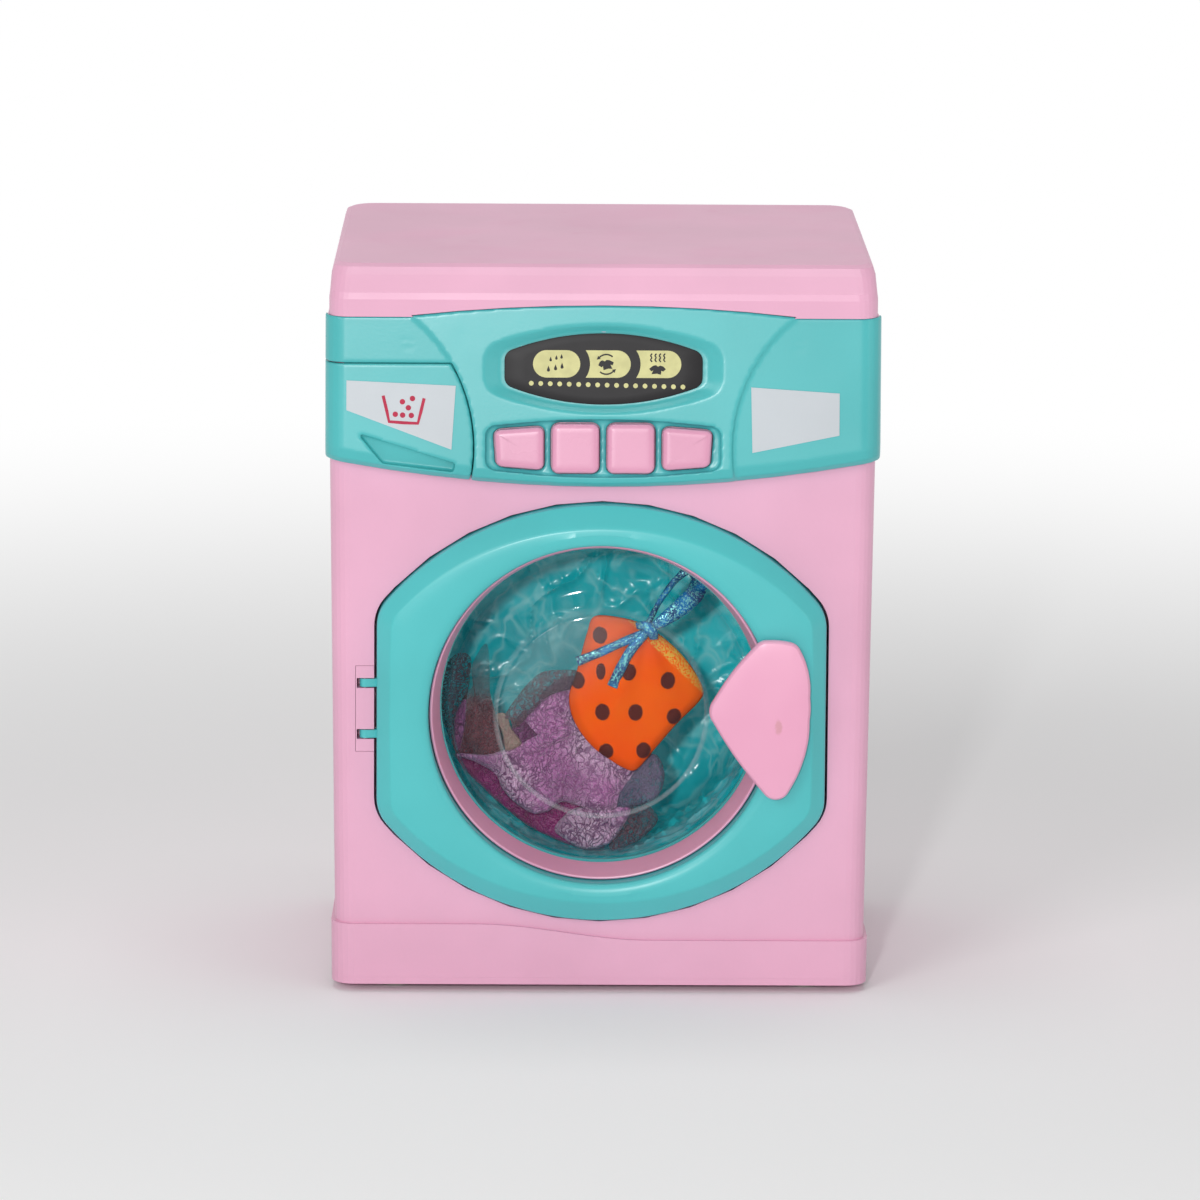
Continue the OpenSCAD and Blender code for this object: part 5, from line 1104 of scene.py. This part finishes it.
# %% Display windows
WINDOW_Z, WINDOW_HALF, BITE = 239.1, 5.0, 8.6


def bite(x, centre):
    """An arc that cuts a window's left end, from its lower tip to its upper tip."""
    reach = math.asin(WINDOW_HALF / BITE)
    return arc_points(centre, WINDOW_Z, BITE, [reach - 2 * reach * i / 14 for i in range(15)])


def round_end(x, side=1):
    """Half a circle that ends a window at x; side is -1 at its left end."""
    return [(x - side * WINDOW_HALF + side * WINDOW_HALF * math.cos(a), WINDOW_Z + WINDOW_HALF * math.sin(a))
            for a in (side * (-math.pi / 2 + math.pi * i / 16) for i in range(17))]


windows = [round_end(-26.0, -1) + round_end(-8.6), bite(-7.3, -13.6) + round_end(10.0),
           bite(11.3, 5.0) + round_end(28.6)]
dots = [disc(-26.6 + 3.49 * i, 232.0 - 0.07 * i, 1.75) for i in range(17)]
piece("display_windows", printed(windows + dots, panel_spot, 1.27, 1.2), "cabinet", "white_plastic",
      ink("window_cream", srgb(216, 212, 152)))

# %% [markdown]
# ## Display pictures
# The pictures are the plain ones that any washing machine has: drops, a turning garment and a drying one.
# They are drawn with short formulas, because a drawn curve stays round at any distance.

# %% Display marks
def drop(x, z, wide, tall):
    """A falling drop, round below and pointed above."""
    half, outline = wide / 2, []
    for a in turns(18):
        up = math.sin(a)
        slim, reach = (1, half) if up < 0 else (1 - up ** 1.3, tall - half)
        outline.append((x + half * math.cos(a) * slim, z - tall / 2 + half + reach * up))
    return outline


def shirt(x, z, wide, tall, lean):
    """A small crumpled shirt."""
    plan = ((-0.5, 0.05), (-0.34, -0.2), (-0.24, -0.08), (-0.3, -0.5), (0.02, -0.42), (0.26, -0.5),
            (0.24, -0.06), (0.36, -0.16), (0.5, 0.12), (0.3, 0.4), (0.12, 0.46), (0.0, 0.34), (-0.14, 0.5),
            (-0.32, 0.38))
    cos, sin = math.cos(lean), math.sin(lean)
    return [(x + wide * (u * cos - v * sin), z + tall * (u * sin + v * cos)) for u, v in plan]


def bowed_arrow(x, z, radius, start, end):
    """Part of a circle with a head at its end, angles in degrees."""
    line = arc_points(x, z, radius, [math.radians(start + (end - start) * i / 8) for i in range(9)])
    tip_x, tip_z = line[-1]
    along_x, along_z = direction(*line[-2:])
    head = [(tip_x + along_z * 0.75, tip_z - along_x * 0.75), (tip_x + along_x * 1.3, tip_z + along_z * 1.3),
            (tip_x - along_z * 0.75, tip_z + along_x * 0.75)]
    return [stroke(line, 0.55), head]


marks = [drop(x, z, 0.95, 1.8) for x, z in ((-19.5, 240.9), (-17.4, 241.5), (-15.5, 241.9))]
marks += [drop(x, z, 1.15, 2.3) for x, z in ((-20.3, 237.4), (-17.7, 237.9), (-15.3, 238.5))]
marks += [shirt(1.0, 238.9, 6.0, 3.6, 0.25)]
for start, end in ((50, 135), (230, 315)):
    marks += bowed_arrow(1.0, 239.0, 3.6, start, end)
marks += [shirt(19.8, 237.1, 6.2, 3.4, -0.1)]
marks += [stroke([(x + 0.35 * (-1) ** k, 240.0 + 0.75 * k) for k in range(5)], 0.5, smooth=2)
          for x in (17.5, 19.1, 20.7, 22.3)]
piece("display_marks", printed(marks, panel_spot, 1.21, 1.15), "cabinet", "black_plastic", black_film)

# %% [markdown]
# ## Fascia and drawer front
# Both were cut as solids with sharp edges, but a mould leaves every edge a little round. So they are
# wrapped anew in even small faces and smoothed, which rounds the edges by half a millimetre and leaves the
# flat parts where they are. A lens-shaped patch closes the top of the display recess, and two plugs thicken
# the thin skin over the upper screw bosses.

# %% Fascia and drawer
front_turquoise = moulded("turquoise_front", srgb(76, 185, 187), 0.28)


def softened(name, node, body, slot, step_mm, *patches):
    """The solid of a node with rounded edges; patches are closed shapes that grow together with it."""
    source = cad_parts[node]
    work = bmesh.new()
    work.from_mesh(source.data)
    work.transform(source.matrix_world)
    for points, faces in patches:
        made = [work.verts.new(Vector(point) * MM) for point in points]
        for face in faces:
            work.faces.new([made[i] for i in face])
    bmesh.ops.remove_doubles(work, verts=work.verts, dist=1e-6)
    mesh = bpy.data.meshes.new(name)
    work.to_mesh(mesh)
    work.free()
    made = placed(name, mesh)
    applied(made, "REMESH", mode="VOXEL", voxel_size=step_mm * MM)
    applied(made, "SMOOTH", factor=0.5, iterations=4)
    made.data.shade_smooth()
    made.data.materials.clear()
    made.data.materials.append(front_turquoise)
    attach(made, body)
    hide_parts(node)
    print(name, len(made.data.polygons), "faces")


recess_patch = pillow([(x, z + 237.4) for x, z in plate_outline(41, 14.6, 110, 6)], ((0, 4.0), (0, 2.3)),
                      place=panel_spot)
screw_plugs = [pillow(disc(x, 246, 4.8), ((0, -0.9), (0, -0.15)), place=side_spot) for x in (-72, 72)]
softened("fascia_moulded", "control_fascia", "cabinet", "turquoise", 0.55, recess_patch, *screw_plugs)
softened("drawer_moulded", "detergent_drawer", "drawer", "turquoise", 0.5)

# %% [markdown]
# ## Labels
# The two labels are thin printed stickers. The left one shows a tub with powder, the usual sign for
# detergent. The right one is plain.

# %% Drawer mark
POWDER = ((-74.0, 224.9), (-70.3, 226.1), (-71.8, 222.7), (-76.6, 220.3), (-73.9, 220.0), (-70.7, 219.9))
tub = stroke([(-81.1, 227.1), (-79.7, 221.4), (-78.9, 217.6), (-73.6, 217.2), (-68.3, 217.0), (-67.2, 221.2),
              (-66.0, 226.2)], 1.15)
piece("drawer_mark", printed([tub] + [disc(x, z, 2.0) for x, z in POWDER], side_spot, 0.26, 0.33), "drawer",
      "button_pink", ink("crimson_ink", srgb(190, 44, 76)))

# %% [markdown]
# ## Buttons
# Four soft-cornered caps. The outer two get lower towards the sides of the machine, as the tray does.

# %% Buttons
CAP = ((-1.1, 5.7), (-1.1, 4.52), (0, 4.5), (0, 0.6), (0.05, 0.0), (0.2, -0.4), (0.5, -0.75), (0.95, -1.0),
       (1.5, -1.15), (2.1, -1.2))
CAP_STEP, CAP_RISE = 20.4, 9.7  # from one cap to the next, and above the panel's foot


def cap_outline(i):
    half_w, half_h, corner = 8.7, 9.1, 2.6
    outline = []
    for sx, sz, first in ((1, 1, 0), (-1, 1, 90), (-1, -1, 180), (1, -1, 270)):
        outline += arc_points(sx * (half_w - corner), sz * (half_h - corner), corner,
                              [math.radians(first + 10 * k) for k in range(10)])
    if i in (0, 3):
        side = -1 if i == 0 else 1
        outline = [(x + (side * 0.45 * (1 + z / half_h) if x * side > 0 else 0),
                    z * (0.805 - 0.075 * side * x / half_w)) for x, z in outline]
    return evenly(outline, 120)


for i in range(4):
    middle = (i - 1.5) * CAP_STEP
    cap = pillow(cap_outline(i), CAP, place=lambda x, z, sink: panel_spot(
        x + middle, PANEL_FOOT + (z + CAP_RISE) * math.sin(TILT), sink))
    piece(f"button_cap_{i + 1}", cap, f"button_{'abcd'[i]}", "button_pink", replaces=[f"button_{i + 1}"],
          crease=32)
